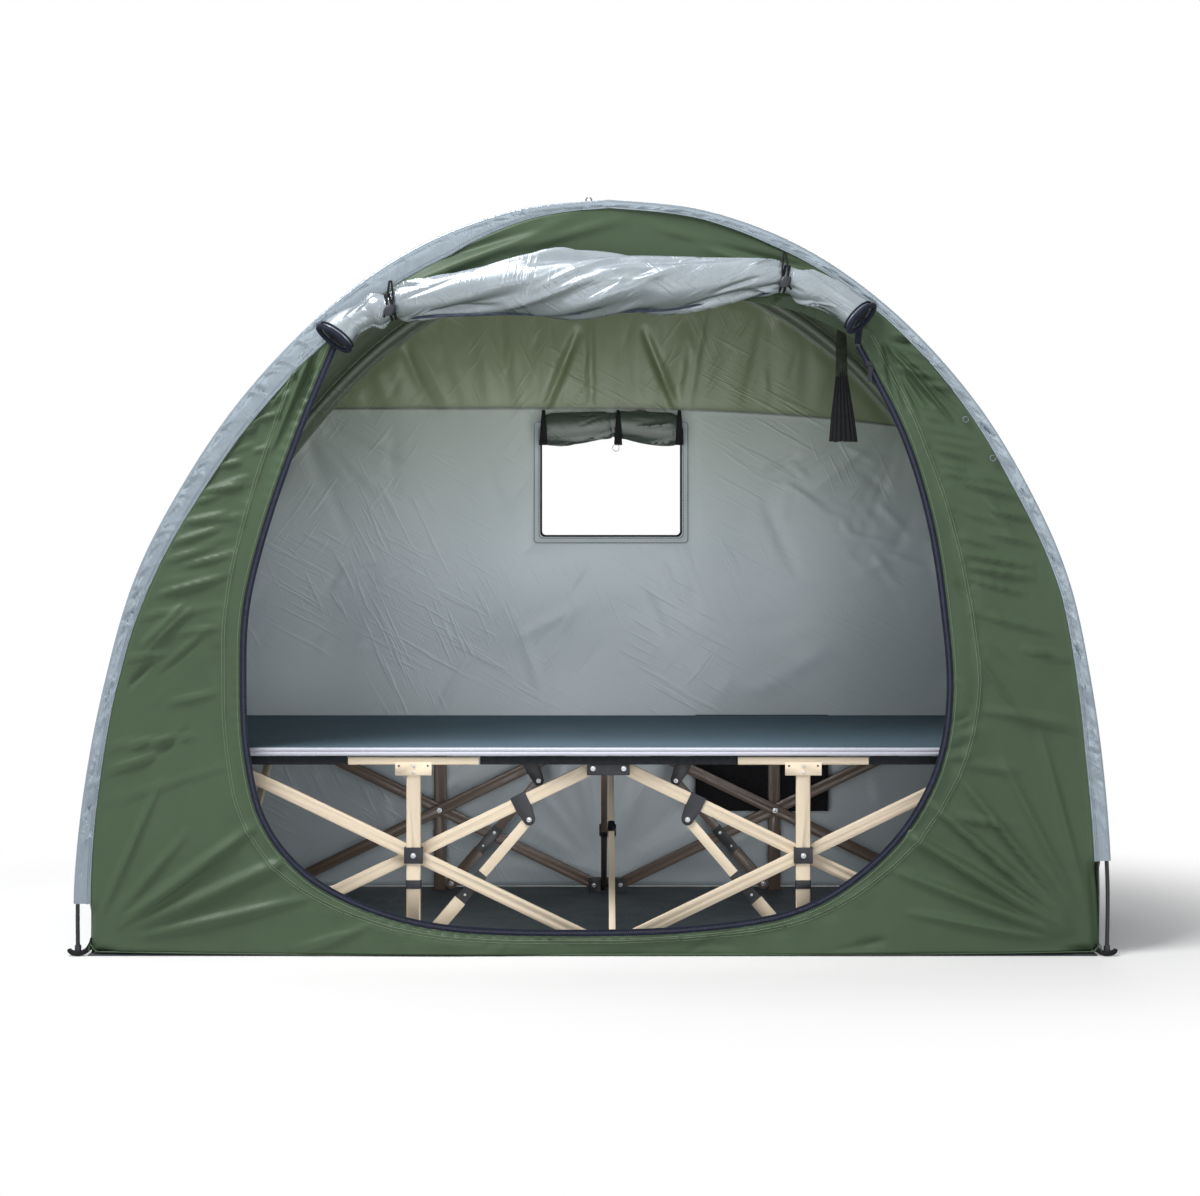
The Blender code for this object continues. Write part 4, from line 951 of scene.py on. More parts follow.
def end_sheet(name, outer, inner, centre, y, relief, finish, inner_finish, columns=720, rows=66,
              bias=1.0, pocket=0.0, tuck=0.0):
    """A cloth wall from its opening out to its edge, whose relief points to the front.

    Along the arch it can stand out by a pocket for the pole, and below the sleeves it can be tucked in
    to the roof's skirt. How far each point is from the edge is kept for its finish.
    """
    angles = np.linspace(-pi, pi, columns, endpoint=False)
    marks = np.arctan2(outer[:, 1] - centre[1], outer[:, 0] - centre[0])
    turn = np.abs(np.diff(np.unwrap(np.arctan2(*np.gradient(outer, axis=0).T[::-1]))))
    corners = marks[1:][turn > 0.5]
    angles = np.sort(np.concatenate((angles, corners)))
    out, into = rays(outer, centre, angles), rays(inner, centre, angles)
    shares = np.linspace(0, 1, rows) ** bias
    flat = into[None] + (out - into)[None] * shares[:, None, None]
    x, z = flat[..., 0], flat[..., 1]
    rise = relief(x, z) * ease(1 - shares, 0.0, 0.03)[:, None]
    from_edge = np.linalg.norm(flat - out[None], axis=2)
    if pocket:
        rise = rise * ease(from_edge, 0.035, 0.08)
    rise = rise + pocket * ease(from_edge, 0.0, 0.008) * (1 - ease(from_edge, 0.022, 0.042)) * (z > 0.1)
    end = np.where(x > 0, SLEEVE_END[1], SLEEVE_END[-1])
    near_foot = ease(end - z, 0.0, 0.015) * ease(np.abs(x), 1.0, 1.045)
    rise = rise + tuck * (1 - ease(from_edge, 0.0, 0.03)) * near_foot
    points = np.stack((x, y - rise, z), -1)
    faces = grid_faces(rows, len(angles), loop_columns=True, flip=True)
    made = piece(name, points.reshape(-1, 3), faces, "tent", finish)
    made.data.attributes.new("from_edge", "FLOAT", "POINT").data.foreach_set("value", from_edge.ravel())
    return thickened(made, CLOTH, inner_finish)


def sleeve(name, side):
    """The pocket round a pole, with the pole's ridge at its outer edge and puckers across it."""
    line, normals = arch(900)
    keep = np.array([z > sleeve_end(x) for x, z in line])
    line, normals = line[keep], normals[keep]
    run = lengths(line)
    widths = band(line[:, 0], line[:, 1])
    # Across the sleeve, in millimetres: depths over the pole, then shares of the rest of its width,
    # and how far it stands out of the wall's plane on either side
    pocket = np.array((-1.2, -0.6, 1.4, 5.0, 9.0, 12.4)) / 1000
    rest = np.array((0.15, 0.35, 0.6, 0.82, 0.95, 1.0))
    proud = np.array((0.0, 2.2, 3.6, 3.6, 2.6, 1.5, 1.1, 0.9, 0.9, 1.1, 1.2, 0.0)) / 1000
    deep = np.array((4.0, 8.0, 12.0, 12.8, 12.6, 9.0, 6.0, 4.0, 3.0, 2.6, 2.2, 1.5)) / 1000
    folds = Folds(21 + side)
    pucker_count = 250
    for _ in range(pucker_count):
        start = folds.random.uniform(0.05, run[-1] - 0.05)
        calm = 1.0 - 0.75 * float(ease(np.array([np.interp(start, run, line[:, 1])]), 1.2, 1.36)[0])
        hand = 1 if np.interp(start, run, line[:, 0]) > 0 else -1
        slant = hand * folds.random.uniform(0.015, 0.09)
        folds.line((start, folds.random.uniform(0.12, 0.4)), (start + slant, folds.random.uniform(0.6, 1.0)),
                   folds.random.uniform(0.003, 0.008), calm * folds.random.uniform(-0.0036, 0.005))
    shares = np.linspace(0, 1, len(proud))
    grid_run, grid_share = np.meshgrid(run, shares, indexing="ij")
    lift = proud + folds.height(grid_run, grid_share) * np.sin(pi * shares) ** 0.6
    depth = np.empty_like(lift)
    for k, width in enumerate(widths):
        depth[k] = np.concatenate((pocket, pocket[-1] + (max(width, POCKET) - pocket[-1]) * rest))
    place = FRONT if side < 0 else BACK
    outer_side = np.stack((line[:, :1] + normals[:, :1] * depth, place + side * lift,
                           line[:, 1:] + normals[:, 1:] * depth), -1)
    inner_side = outer_side.copy()
    inner_side[..., 1] = place - side * deep
    made = lofted(name, np.concatenate((outer_side, inner_side[:, ::-1]), 1), "tent", "silver")
    made.data.materials.append(MATERIALS["roof_inner"])
    for face in made.data.polygons:
        face.material_index = int(face.normal[1] * side < -0.3)
    threads = [[(x + nx * (w - gap), place + side * 0.0018, z + nz * (w - gap))
                for (x, z), (nx, nz), w in zip(line, normals, widths)] for gap in (0.004, 0.008)]
    stitched(name + "_stitches", threads, "grey_thread", pitch=0.0052)


def roof():
    """The silver sheet over the poles, which dips a little between them, with soft creases all over."""
    line, normals = arch(420)
    across = np.linspace(-1, 1, 66)
    creases = Folds(31)
    run = lengths(line)
    creases.scatter((0.1, run[-1] - 0.1, -0.45, 0.45), 110, 0.3, 0.009, 0.003, 90, 40)
    creases.scatter((0.1, run[-1] - 0.1, -0.45, 0.45), 60, 0.22, 0.006, 0.002, 0, 50)
    points = np.empty((len(line), len(across), 3))
    grid_run, grid_y = np.meshgrid(run, across * HALF_DEPTH, indexing="ij")
    rise = creases.height(grid_run, grid_y) + Folds(32).swell(grid_run, grid_y, 0.4, 0.004)
    for k, ((x, z), (nx, nz)) in enumerate(zip(line, normals)):
        setback = min(max(sleeve_end(x) - z, 0.0) / 0.015, 1.0) * SKIRT_SETBACK
        inward = ease(sleeve_end(x) + 0.07 - z, 0.0, 0.07) * (skirt_inset(x) + 0.003)
        dip = 0.014 * (1 - across ** 2) * min(1.0, z / 0.4)
        edge = ease(1 - np.abs(across), 0.0, 0.06)
        depth = inward + 0.0004 + dip + np.clip(rise[k] + 0.003, 0, 1) * edge
        points[k, :, 0] = x + nx * depth
        points[k, :, 1] = MIDDLE + across * (HALF_DEPTH - setback)
        points[k, :, 2] = np.maximum(z + nz * depth, 0.0026)
    made = piece("roof_sheet", points.reshape(-1, 3), grid_faces(*points.shape[:2]), "tent", "silver")
    thickened(made, CLOTH, "roof_inner")
    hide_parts("roof_shell")
    lines = []
    for k in (int(len(line) * share) for share in (0.365, 0.635)):
        for gap in (-0.004, 0.004):
            normal = normals[k]
            way = np.array((normal[1], -normal[0])) * gap
            lines.append([(points[k, j, 0] + way[0] - normal[0] * THREAD_LIFT, points[k, j, 1],
                           points[k, j, 2] + way[1] - normal[1] * THREAD_LIFT) for j in range(2, 64)])
    stitched("roof_seam_stitches", lines, "grey_thread")


def zip_parts():
    """The doorway's zip: two woven edges and the coil of teeth between them."""
    line = zip_line(900)
    run = lengths(line)
    half = ZIP_WIDTH / 2
    profile = ((-half, 0.0002), (-half, -0.0012), (-0.0024, -0.0016), (-0.002, -0.0008), (0.002, -0.0008),
               (0.0024, -0.0016), (half, -0.0012), (half, 0.0002))
    wave = Folds(41).swell(run, run * 0, 0.12, 0.0006)
    rings = [[(x + nx * a, FRONT + b + w, z + nz * a) for a, b in profile]
             for (x, z), (nx, nz), w in zip(line, sideways(line), wave)]
    tape = lofted("zip_edge_tape", rings[::2], "tent", "zip")
    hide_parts("door_zip")
    repeated("zip_coil_teeth", "teeth", [[(x, FRONT - 0.0015 + w, z) for (x, z), w in zip(line, wave)]],
             "tent", "coil", Pitch=0.0038, Width=0.0042, Height=0.0012)


def front():
    """The green wall round the doorway, its seam, hem piping and stitching."""
    outer = wall_outline()
    behind = 0.0002
    wall = end_sheet("front_wall_cloth", outer, RIM, (0.0, DOOR_TOP / 2), FRONT + behind, front_relief,
                     "green", "silver", tuck=behind - SKIRT_SETBACK)
    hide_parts("front_wall")
    rim = even(RIM[:400], 700)
    side = sideways(rim)
    lines = []
    for offset in (-0.0028, 0.0028):
        away = seam_offset(rim[:, 0], rim[:, 1]) + offset
        path = rim - side * away[:, None]
        inside = path[:, 1] > 0.012
        path = path[inside]
        reliefs = front_relief(path[:, 0], path[:, 1])
        lines.append([(x, FRONT - lift - THREAD_LIFT, z) for (x, z), lift in zip(path, reliefs)])
    path = rim - side * 0.006
    lines.append([(x, FRONT - 0.0012, z) for x, z in path if z > 0.02])
    stitched("front_seam_stitches", lines)
    low = outer[outer[:, 1] < 0.03]
    low = low[np.argsort(low[:, 0])]
    hem = [(x, FRONT - 0.001, z - 0.0006) for x, z in even(low, 200)]
    tube("front_hem_piping", hem, 0.0014, "tent", "green", 8, flat=0.8)


def back_seam(x):
    """The level of the seam between the silver and the olive cloth."""
    return SEAM_LEVEL - SEAM_DROP * np.maximum(x, 0) ** SEAM_POWER


def back_folds():
    """The back wall's folds: creases in patches, fans at its foot and sides, and folds above its seam."""
    shift = WINDOW[0]
    made = Folds(51)
    made.scatter((-0.9, 0.9, 0.45, 1.12), 46, 0.22, 0.011, 0.0036, 60, 55)
    made.scatter((-0.72, -0.45, 0.55, 0.85), 16, 0.09, 0.005, 0.0044, 60, 60)
    made.scatter((-0.2, 0.6, 0.5, 0.8), 14, 0.1, 0.006, 0.0036, 20, 40)
    made.scatter((0.5, 0.8, 0.8, 1.12), 26, 0.13, 0.005, 0.0046, 145, 25)
    made.fan((0.02, 0.03), 15, 165, 15, 0.1, 0.42, 0.014, 0.01)
    made.scatter((-0.7, 0.75, 1.22, 1.45), 46, 0.14, 0.006, 0.0026, 80, 30)
    made.scatter((-0.9, 0.9, 0.04, 0.4), 40, 0.16, 0.008, 0.006, 60, 50)
    made.fan((-0.75, 1.2), -30, -80, 6, 0.03, 0.4, 0.01, 0.003)
    made.fan((0.8, 1.2), 200, 260, 6, 0.03, 0.4, 0.01, 0.003)
    first, span, upper_folds = -0.8, 1.62, 40
    for k in range(upper_folds):
        x = first + span * (k + made.random.uniform(-0.35, 0.35)) / (upper_folds - 1)
        tilt = (x - shift) * made.random.uniform(0.0, 0.35)
        made.line((x, 1.19), (x + tilt, 1.19 + made.random.uniform(0.2, 0.42)),
                  made.random.uniform(0.01, 0.02), made.random.uniform(-0.006, 0.006))
    for side in (-1, 1):
        made.line((shift + side * 0.17, 1.2), (shift + side * 0.08, 1.42), 0.01, 0.017)
    return made


BACK_FOLDS = back_folds()
# The Y of the wall's threads where the cloth lies flat
BACK_THREADS = BACK - 0.0016


def back_relief(x, z):
    """How far the back wall stands out of its plane, toward the front."""
    shift, width, low, high = WINDOW
    away = np.maximum(np.abs(x - shift) - width / 2, np.abs(z - (low + high) / 2) - (high - low) / 2)
    ridge = 0.0016 * np.exp(-((z - back_seam(x)) / 0.004) ** 2)
    wave = Folds(52).swell(x, z, 0.45, 0.013)
    return -(BACK_FOLDS.height(x, z) + wave - 0.004) * ease(away, 0.0, 0.05) + ridge


def window_line(grow, count):
    """A line round the window, this much wider and higher than it, and the wall's relief along it."""
    shift, width, low, high = WINDOW
    outline = rounded_profile(width + grow, high - low + grow, 0.008, 3)
    path = even(np.array([(shift + a, (low + high) / 2 + b) for a, b in outline + outline[:1]]), count)
    return path, back_relief(path[:, 0], path[:, 1])


def window_facing():
    """The strip of cloth round the window, with two rows of stitches."""
    sections = []
    for grow, proud in ((0.004, 0.0), (0.004, 0.0016), (0.04, 0.0016), (0.04, 0.0)):
        path, reliefs = window_line(grow, 281)
        sections.append([(x, BACK_THREADS - lift - proud, z) for (x, z), lift in zip(path[:-1], reliefs)])
    lofted("window_facing", np.array(sections).transpose(1, 0, 2), "tent", "facing", True)
    lines = []
    for grow in (0.01, 0.034):
        path, reliefs = window_line(grow, 240)
        lines.append([(x, BACK - 0.0036 - lift, z) for (x, z), lift in zip(path, reliefs)])
    stitched("window_stitches", lines, "binding", pitch=0.0038, length=0.0028, radius=0.0009)


def back():
    """The back wall: silver and olive inside, green outside, with the window's opening."""
    shift, width, low, high = WINDOW
    centre = (shift, (low + high) / 2)
    corner = 0.012
    opening = np.array([(shift + a, centre[1] + b) for a, b in rounded_profile(width, high - low, corner, 5)])
    ahead = 0.0012
    wall = end_sheet("back_wall_cloth", wall_outline(0.002, 0.0), opening, centre, BACK - ahead, back_relief,
                     "back_inner", "green", columns=640, rows=60, bias=0.9, pocket=0.0142,
                     tuck=SKIRT_SETBACK - ahead)
    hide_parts("back_wall")
    level = 1.2
    reach = float(np.interp(level, ARCH_LEVELS, ARCH_REACH))
    xs = np.linspace(*(side * reach - side * 0.05 + lean(level) for side in (-1, 1)), 220)
    lines = []
    for offset in (-0.0035, 0.0035):
        seam = back_seam(xs) + offset
        lines.append([(x, BACK_THREADS - lift, z) for x, z, lift in zip(xs, seam, back_relief(xs, seam))])
    stitched("back_stitches", lines, "grey_thread")
    window_facing()
    path = even(np.concatenate((opening, opening[:1])), 260)[:-1]
    tube("window_binding", [(x, BACK - ahead, z) for x, z in path], 0.003, "tent", "binding", 8, True, 0.7)


def roll_rings(line, y, depth_share, sides, creases):
    """Rings of a soft roll round a line of (x, z, radius)."""
    x, z, radius = line.T
    normal = sideways(line[:, :2])
    turns = np.linspace(0, 2 * pi, sides, endpoint=False)
    run = lengths(line[:, :2])
    grid_run, grid_turn = np.meshgrid(run, turns, indexing="ij")
    unrolled = 0.05
    swell = creases.height(grid_run, grid_turn * unrolled)
    swell = swell + creases.height(grid_run, (grid_turn - 2 * pi) * unrolled)
    reach = radius[:, None] + swell
    points = np.empty((len(line), sides, 3))
    points[..., 0] = x[:, None] + normal[:, :1] * reach * np.cos(turns)
    points[..., 1] = y + depth_share * reach * np.sin(turns)
    points[..., 2] = z[:, None] + normal[:, 1:] * reach * np.cos(turns)
    return points


# The rolled door's middle line and radius, from its left mouth to its right one
DOOR_ROLL = smooth([(a * DOOR_HALF_WIDTH, b * DOOR_TOP, r) for a, b, r in (
    (-0.732, 0.8785, 0.038), (-0.716, 0.8875, 0.036), (-0.69, 0.8985, 0.032), (-0.64, 0.911, 0.027),
    (-0.61, 0.917, 0.034), (-0.5715, 0.9227, 0.025), (-0.53, 0.929, 0.036), (-0.449, 0.936, 0.041),
    (-0.27, 0.948, 0.054), (-0.12, 0.9534, 0.062), (0.1, 0.956, 0.06), (0.2227, 0.957, 0.057),
    (0.36, 0.962, 0.047), (0.48, 0.9655, 0.038), (0.544, 0.9625, 0.026), (0.6, 0.952, 0.033),
    (0.66, 0.94, 0.029), (0.705, 0.928, 0.031), (0.745, 0.914, 0.034), (0.762, 0.907, 0.035),
)], 22)
ROLL_FLAT = 0.5
MOUTH_TURN = 0.8


def roll_station(x):
    """Where along the rolled door a place along the bed is nearest."""
    return int(np.abs(DOOR_ROLL[:, 0] - x).argmin())


def roll_loop(x, grow, shift=0.0, turned=0.0):
    """A loop round the rolled door at a place along the bed, this far outside its cloth."""
    index = roll_station(x)
    px, pz, radius = DOOR_ROLL[index]
    nx, nz = sideways(DOOR_ROLL[:, :2])[index]
    loop = []
    for turn in np.linspace(0, 2 * pi, 40, endpoint=False):
        up = (radius + grow) * cos(turn)
        out = (ROLL_FLAT * radius + grow) * sin(turn)
        loop.append((px + nx * up + nz * shift - turned * out, -ROLL_PLACE + out, pz + nz * up - nx * shift))
    return loop


def door_tie(number, place):
    """A tie of the rolled door: a double elastic, its two ends that hang in front, and their lock."""
    for shift in (-0.0045, 0.0045):
        loop = roll_loop(place, 0.0022, shift)
        tube(f"door_tie_{number}_{'a' if shift < 0 else 'b'}", loop, 0.0026, "tent", "elastic", 8, True)
    px, pz, radius = DOOR_ROLL[roll_station(place)]
    y = -ROLL_PLACE - ROLL_FLAT * radius - 0.004
    for word, hand in SIDES:
        hang = [(px + hand * 0.002, y + 0.012, pz + radius + 0.03),
                (px + hand * 0.006, y - 0.001, pz + radius * 0.7), (px + hand * 0.005, y - 0.004, pz),
                (px + hand * 0.005, y - 0.004, pz - radius * 0.4),
                (px + hand * 0.013, y - 0.002, pz - radius * 0.95)]
        tube(f"door_tie_{number}_{word}_cord", smooth(hang, 8), 0.0022, "tent", "elastic", 8)
    rings = []
    for share in np.linspace(-1, 1, 9):
        size = 0.011 * (1 - 0.2 * share ** 2)
        rings.append([(px + a + 0.003 * share, y - 0.006 + b, pz - radius * 0.35 + 0.011 * share)
                      for a, b in rounded_profile(size * 2.1, size * 1.2, size * 0.5, 3)])
    lofted(f"door_tie_lock_{number}", rings, "tent", "plastic")


def door_mouth(number, hand):
    """A flared end of the rolled door: two rolled edges, and a black sheet sunk into it that stands for the
    shade in its hollow.
    """
    for ring, (inward, grow, thick) in enumerate(((0.0, 0.001, 0.006), (0.0105, 0.0015, 0.0022))):
        loop = roll_loop(hand, grow, -hand * inward, -hand * MOUTH_TURN)
        tube(f"door_roll_edge_{number}_{ring + 1}", loop, thick, "tent", "zip", 8, True)
    # The black sheet that closes the mouth is painted shade of the roll's hollow inside.
    steps = ((-0.002, -0.004), (-0.0015, 0.0006), (-0.008, -0.0002), (-0.02, 0.0008), (-0.03, 0.0003))
    rings = [roll_loop(hand, grow, hand * shift, -hand * MOUTH_TURN) for grow, shift in steps]
    lofted(f"door_roll_mouth_painted_shade_{number}", rings, "tent", "elastic")


def zip_ends():
    """The zip's two upper ends, from the front wall to the roll's mouths."""
    line = zip_line(900)
    for word, end, mouth in (("left", line[0], DOOR_ROLL[0]), ("right", line[-1], DOOR_ROLL[-1])):
        path = [(end[0], FRONT - 0.0008, end[1]),
                ((end[0] + mouth[0]) / 2, FRONT - 0.008, (end[1] + mouth[1]) / 2),
                (mouth[0], -ROLL_PLACE, mouth[1])]
        tube(f"zip_{word}_upper_end", smooth(path, 6), ZIP_WIDTH / 2, "tent", "zip", 10, flat=0.3)


def underside_painted_shade():
    """A dark navy strip along the underside of the roll between its ties: painted shade and painted
    reflection of the roll's underside, shaped as the door's edge.
    """
    keep = (DOOR_ROLL[:, 0] > -0.4) & (DOOR_ROLL[:, 0] < 0.4)
    line, normal = DOOR_ROLL[keep], sideways(DOOR_ROLL[:, :2])[keep]
    low = [(x - nx * r * 0.97, -ROLL_PLACE - ROLL_FLAT * r * 0.2, z - nz * r * 0.97)
           for (x, z, r), (nx, nz) in zip(line, normal)]
    taper = 0.0045 * np.sin(np.linspace(0.05, pi - 0.05, len(low))) ** 0.4
    tube("door_roll_dark_edge", low, taper, "tent", "roll_edge", 10)


def rolled_door():
    """The door rolled up above the doorway, drawn in by its two ties and flared at its ends."""
    creases = Folds(61)
    # The folds lie in the unrolled cloth, along the roll and once round it
    once_round = 0.314
    creases.scatter((0.2, 0.95, 0, once_round), 34, 0.2, 0.006, 0.009, 14, 12)
    creases.scatter((0.22, 0.92, 0, once_round), 22, 0.34, 0.011, 0.014, 9, 8)
    for middle in (0.14, 1.0):
        for start in (0.0, once_round / 2, once_round):
            creases.fan((middle, start), -30, 30, 9, 0.006, 0.12, 0.0035, 0.008)
            creases.fan((middle, start), 150, 210, 9, 0.006, 0.12, 0.0035, 0.008)
    rings = roll_rings(DOOR_ROLL, -ROLL_PLACE, ROLL_FLAT, 110, creases)
    run = lengths(DOOR_ROLL[:, :2])
    turned = (1 - ease(run, 0.0, 0.07)) - ease(run, run[-1] - 0.07, run[-1])
    rings[..., 0] -= turned[:, None] * MOUTH_TURN * (rings[..., 1] + ROLL_PLACE)
    made = lofted("rolled_door", rings, "tent", "rolled")
    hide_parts("door_roll")
    for k, place in enumerate((-0.4258, 0.4053)):
        door_tie(k + 1, place)
    for k, hand in enumerate((-1, 1)):
        door_mouth(k + 1, hand)
    zip_ends()
    underside_painted_shade()


def strap_beside_doorway():
    """The strap that hangs at the right of the doorway: a green loop and a black gathered end."""
    x, y = 0.536, FRONT + 0.071
    # Down the strap: a level, half the width and half the thickness
    loop = ((1.36, 0.008, 0.0012), (1.3, 0.012, 0.0014), (1.24, 0.013, 0.002), (1.235, 0.012, 0.002))
    rings = [[(x + a, y + b, z) for a, b in rounded_profile(2 * half, 2 * thick, thick * 0.9, 2)]
             for z, half, thick in loop]
    upper = lofted("strap_loop", rings, "tent", "strap_green")
    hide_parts("hanging_strap")
    rings = []
    fraying = random.Random(7)
    gathers = 17
    start, finish = 1.245, 1.097
    turns = np.linspace(0, 2 * pi, 96, endpoint=False)
    for z, half, thick in ((start, 0.012, 0.002), (1.2, 0.018, 0.004), (1.15, 0.025, 0.005),
                           (1.105, 0.03, 0.0052), (finish, 0.031, 0.005)):
        fray = 0.0035 if z < 1.1 else 0.0
        drift = 0.004 * (start - z) / (start - finish)
        rings.append([(x + drift + half * cos(t), y + thick * (sin(t) + 0.3 * sin(t) * cos(gathers * t)),
                       z - fray * fraying.random()) for t in turns])
    lofted("strap_end", rings, "tent", "strap")


def rolled_window():
    """The window's flap rolled up at its upper edge, with three ties and a ring."""
    shift, width, _, high = WINDOW
    y = BACK - 0.0235
    # Along the roll: a share of half its length, a rise and a radius
    stops = [(-1.0, 0.0, 0.032), (-0.85, -0.003, 0.041), (-0.45, 0.001, 0.04), (-0.1, 0.009, 0.034),
             (0.02, 0.012, 0.027), (0.14, 0.01, 0.033), (0.5, 0.001, 0.041), (0.85, -0.003, 0.042),
             (1.0, 0.0, 0.032)]
    line = smooth([(shift + a * (width / 2 - 0.001), high + b, r) for a, b, r in stops], 24)
    creases = Folds(71)
    creases.scatter((0.0, 0.36, 0, 0.314), 40, 0.13, 0.005, 0.0075, 14, 16)
    rings = roll_rings(line, y, ROLL_FLAT, 60, creases)
    made = lofted("rolled_window", rings, "tent", "flap")
    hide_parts("window_roll")
    for k, share in enumerate((-0.96, 0.1, 0.97)):
        x = shift + share * width / 2
        rings = []
        for turn in np.linspace(0, 2 * pi, 28, endpoint=False):
            wide = 0.004 + 0.0065 * (0.5 - 0.5 * sin(turn))
            tie_y = y + 0.0235 * cos(turn)
            tie_z = high + 0.002 + 0.0435 * sin(turn)
            rings.append([(x + a, tie_y + b * cos(turn), tie_z + b * sin(turn))
                          for a, b in rounded_profile(2 * wide, 0.0018, 0.0007, 1)])
        lofted(f"window_tie_{k + 1}", rings, "tent", "strap", closed=True)
    tube("window_tie_ring", [(shift + 0.012 + 0.008 * sin(t), BACK - 0.05, high - 0.05 + 0.0085 * cos(t))
                             for t in np.linspace(0.5, 2 * pi - 0.3, 24)], 0.0013, "tent", "steel", 8)


def ground():
    """The groundsheet, flat between the walls."""
    reach, depth = HALF_LENGTH - SKIRT_INSET[-1] + 0.002, HALF_DEPTH
    xs, ys = np.linspace(-reach, reach, 120), np.linspace(-depth, depth, 50)
    grid_x, grid_y = np.meshgrid(xs, ys, indexing="ij")
    points = np.stack((grid_x, grid_y + MIDDLE, np.full_like(grid_x, 0.002)), -1)
    made = piece("floor_cloth", points.reshape(-1, 3), grid_faces(120, 50, flip=True), "tent", "ground")
    thickened(made, 0.0018)
    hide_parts("groundsheet")


def poles():
    """Pole rods with their foot caps, and the webbing tabs that hold the wall's corners to them."""
    line, normals = arch(400)
    inset = 0.0064
    path = line + normals * inset
    for name, face in (("front", -1), ("rear", 1)):
        y = MIDDLE + face * (HALF_DEPTH - inset)
        rod = [(x, y, z) for x, z in path if z > 0.0066]
        made = tube(f"{name}_pole_rod", rod, 0.0045, "tent", "rod", 12)
        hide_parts(f"{name}_pole")
        for side, hand in SIDES:
            foot = [(hand * 1.0936, y, z) for z in (0.0026, 0.004, 0.012, 0.02, 0.0225, 0.023)]
            radii = (0.004, 0.0064, 0.007, 0.0068, 0.0062, 0.0047)
            tube(f"{name}_{side}_foot_cap", foot, radii, "tent", "plastic", 14)
            edge = MIDDLE + face * (HALF_DEPTH + 0.001)
            tucked = edge - face * SKIRT_SETBACK
            stops = [(hand * 1.0655, tucked, 0.036), (hand * 1.068, tucked, 0.024),
                     (hand * 1.074, tucked + face * 0.004, 0.012),
                     (hand * 1.086, edge - face * 0.001, 0.0062), (hand * 1.1, edge - face * 0.001, 0.0064),
                     (hand * 1.109, edge - face * 0.003, 0.0095), (hand * 1.1115, edge - face * 0.005, 0.014)]
            tab = smooth(stops, 8)
            size = np.interp(np.linspace(0, 1, len(tab)), (0, 0.3, 0.7, 1), (0.0035, 0.0058, 0.006, 0.0045))
            tube(f"{name}_{side}_corner_tab", tab, size, "tent", "strap", 12, flat=0.7)


def guy_loops():
    """Small loops of tape for guy lines: one on the crown, two on the right at the sleeve's inner edge."""
    turns = np.linspace(0.35, pi * 2 - 0.35, 18)
    size = 0.006
    places = ((-0.008, 1.6075, FRONT + 0.02, pi), (0.792, 1.139, FRONT - 0.005, 2.2),
              (0.8495, 1.057, FRONT - 0.005, 2.2))
    for k, (x, z, y, turn) in enumerate(places):
        path = [(x + size * sin(t + turn), y, z - size * cos(t + turn)) for t in turns]
        tube(f"guy_loop_{k + 1}", path, 0.0015, "tent", "grey_thread", 8)


def tent():
    """All pieces of the tent."""
    poles()
    guy_loops()
    sleeve("front_sleeve", -1)
    sleeve("rear_sleeve", 1)
    roof()
    front()
    zip_parts()
    back()
    rolled_door()
    rolled_window()
    strap_beside_doorway()
    ground()


# Cot

BODY_OF = {node: body for body, nodes in frame["record"]["behaviour"]["bodies"].items() for node in nodes}
# A strut's lower pivot and its direction, out along the bed and up
STRUT_FOOT = (0.3885, 0.024)
STRUT_WAY = (-0.6484, 0.7613)
COLLAR = 0.1434


def spot(u, v, z, side, face):
    """A point from its distances out along the bed, out across it, and up."""
    return (COT_SHIFT + side * u, face * v + MIDDLE, z)


def frame_place(point):
    """The same distances for a point of the model."""
    return abs(point[0] - COT_SHIFT), abs(point[1] - MIDDLE), point[2]


def dressed(node, finishes, region=None, width=0.0009):
    """A node's own form with softened edges and a finish for each of its regions, in place of the node."""
    form = bmesh.new()
    form.from_mesh(frame["nodes"][node].data)
    bmesh.ops.remove_doubles(form, verts=form.verts, dist=0.00001)
    bmesh.ops.dissolve_limit(form, angle_limit=radians(1), verts=form.verts, edges=form.edges)
    for face in form.faces:
        face.material_index = region(face.calc_center_median()) if region else 0
    mesh = bpy.data.meshes.new(node + "_form")
    form.to_mesh(mesh)
    form.free()
    mesh.shade_smooth()
    base = linked(node + "_form", mesh)
    edge = base.modifiers.new("edge", "BEVEL")
    edge.width = width
    edge.segments = 2
    edge.angle_limit = radians(35)
    edge.harden_normals = True
    plain = with_changes(base)
    base.modifiers.remove(edge)
    base.data = plain
    for finish in finishes:
        plain.materials.append(MATERIALS[finish])
    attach(base, BODY_OF[node])
    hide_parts(node)
    base.name = node + "_part"


def leg_region(point):
    """0 painted tube, 1 collar, 2 screws."""
    collar_half, collar_face = 0.0096, 0.009
    post_half, post_face, plate_face = 0.0158, 0.4212, 0.4243
    u, v, z = frame_place(point)
    off = abs(z - COLLAR)
    if off < collar_half and (abs(u - HUB) > post_half or v > post_face or off > collar_face):
        return 1
    return 2 if v > plate_face else 0


def strut_region(point):
    """0 painted tube, 1 coupling at its upper end."""
    coupling_start = 0.1057
    u, _, z = frame_place(point)
    along = (u - STRUT_FOOT[0]) * STRUT_WAY[0] + (z - STRUT_FOOT[1]) * STRUT_WAY[1]
    return 1 if along > coupling_start else 0


def cross_region(point):
    """0 painted bar, 1 the boss and head of the crossing pin, which stand out past the bars."""
    bars_reach = 0.0158
    gap = min(abs(point[0] - COT_SHIFT - station) for station in (-NODE, 0, NODE))
    return 1 if gap > bars_reach else 0


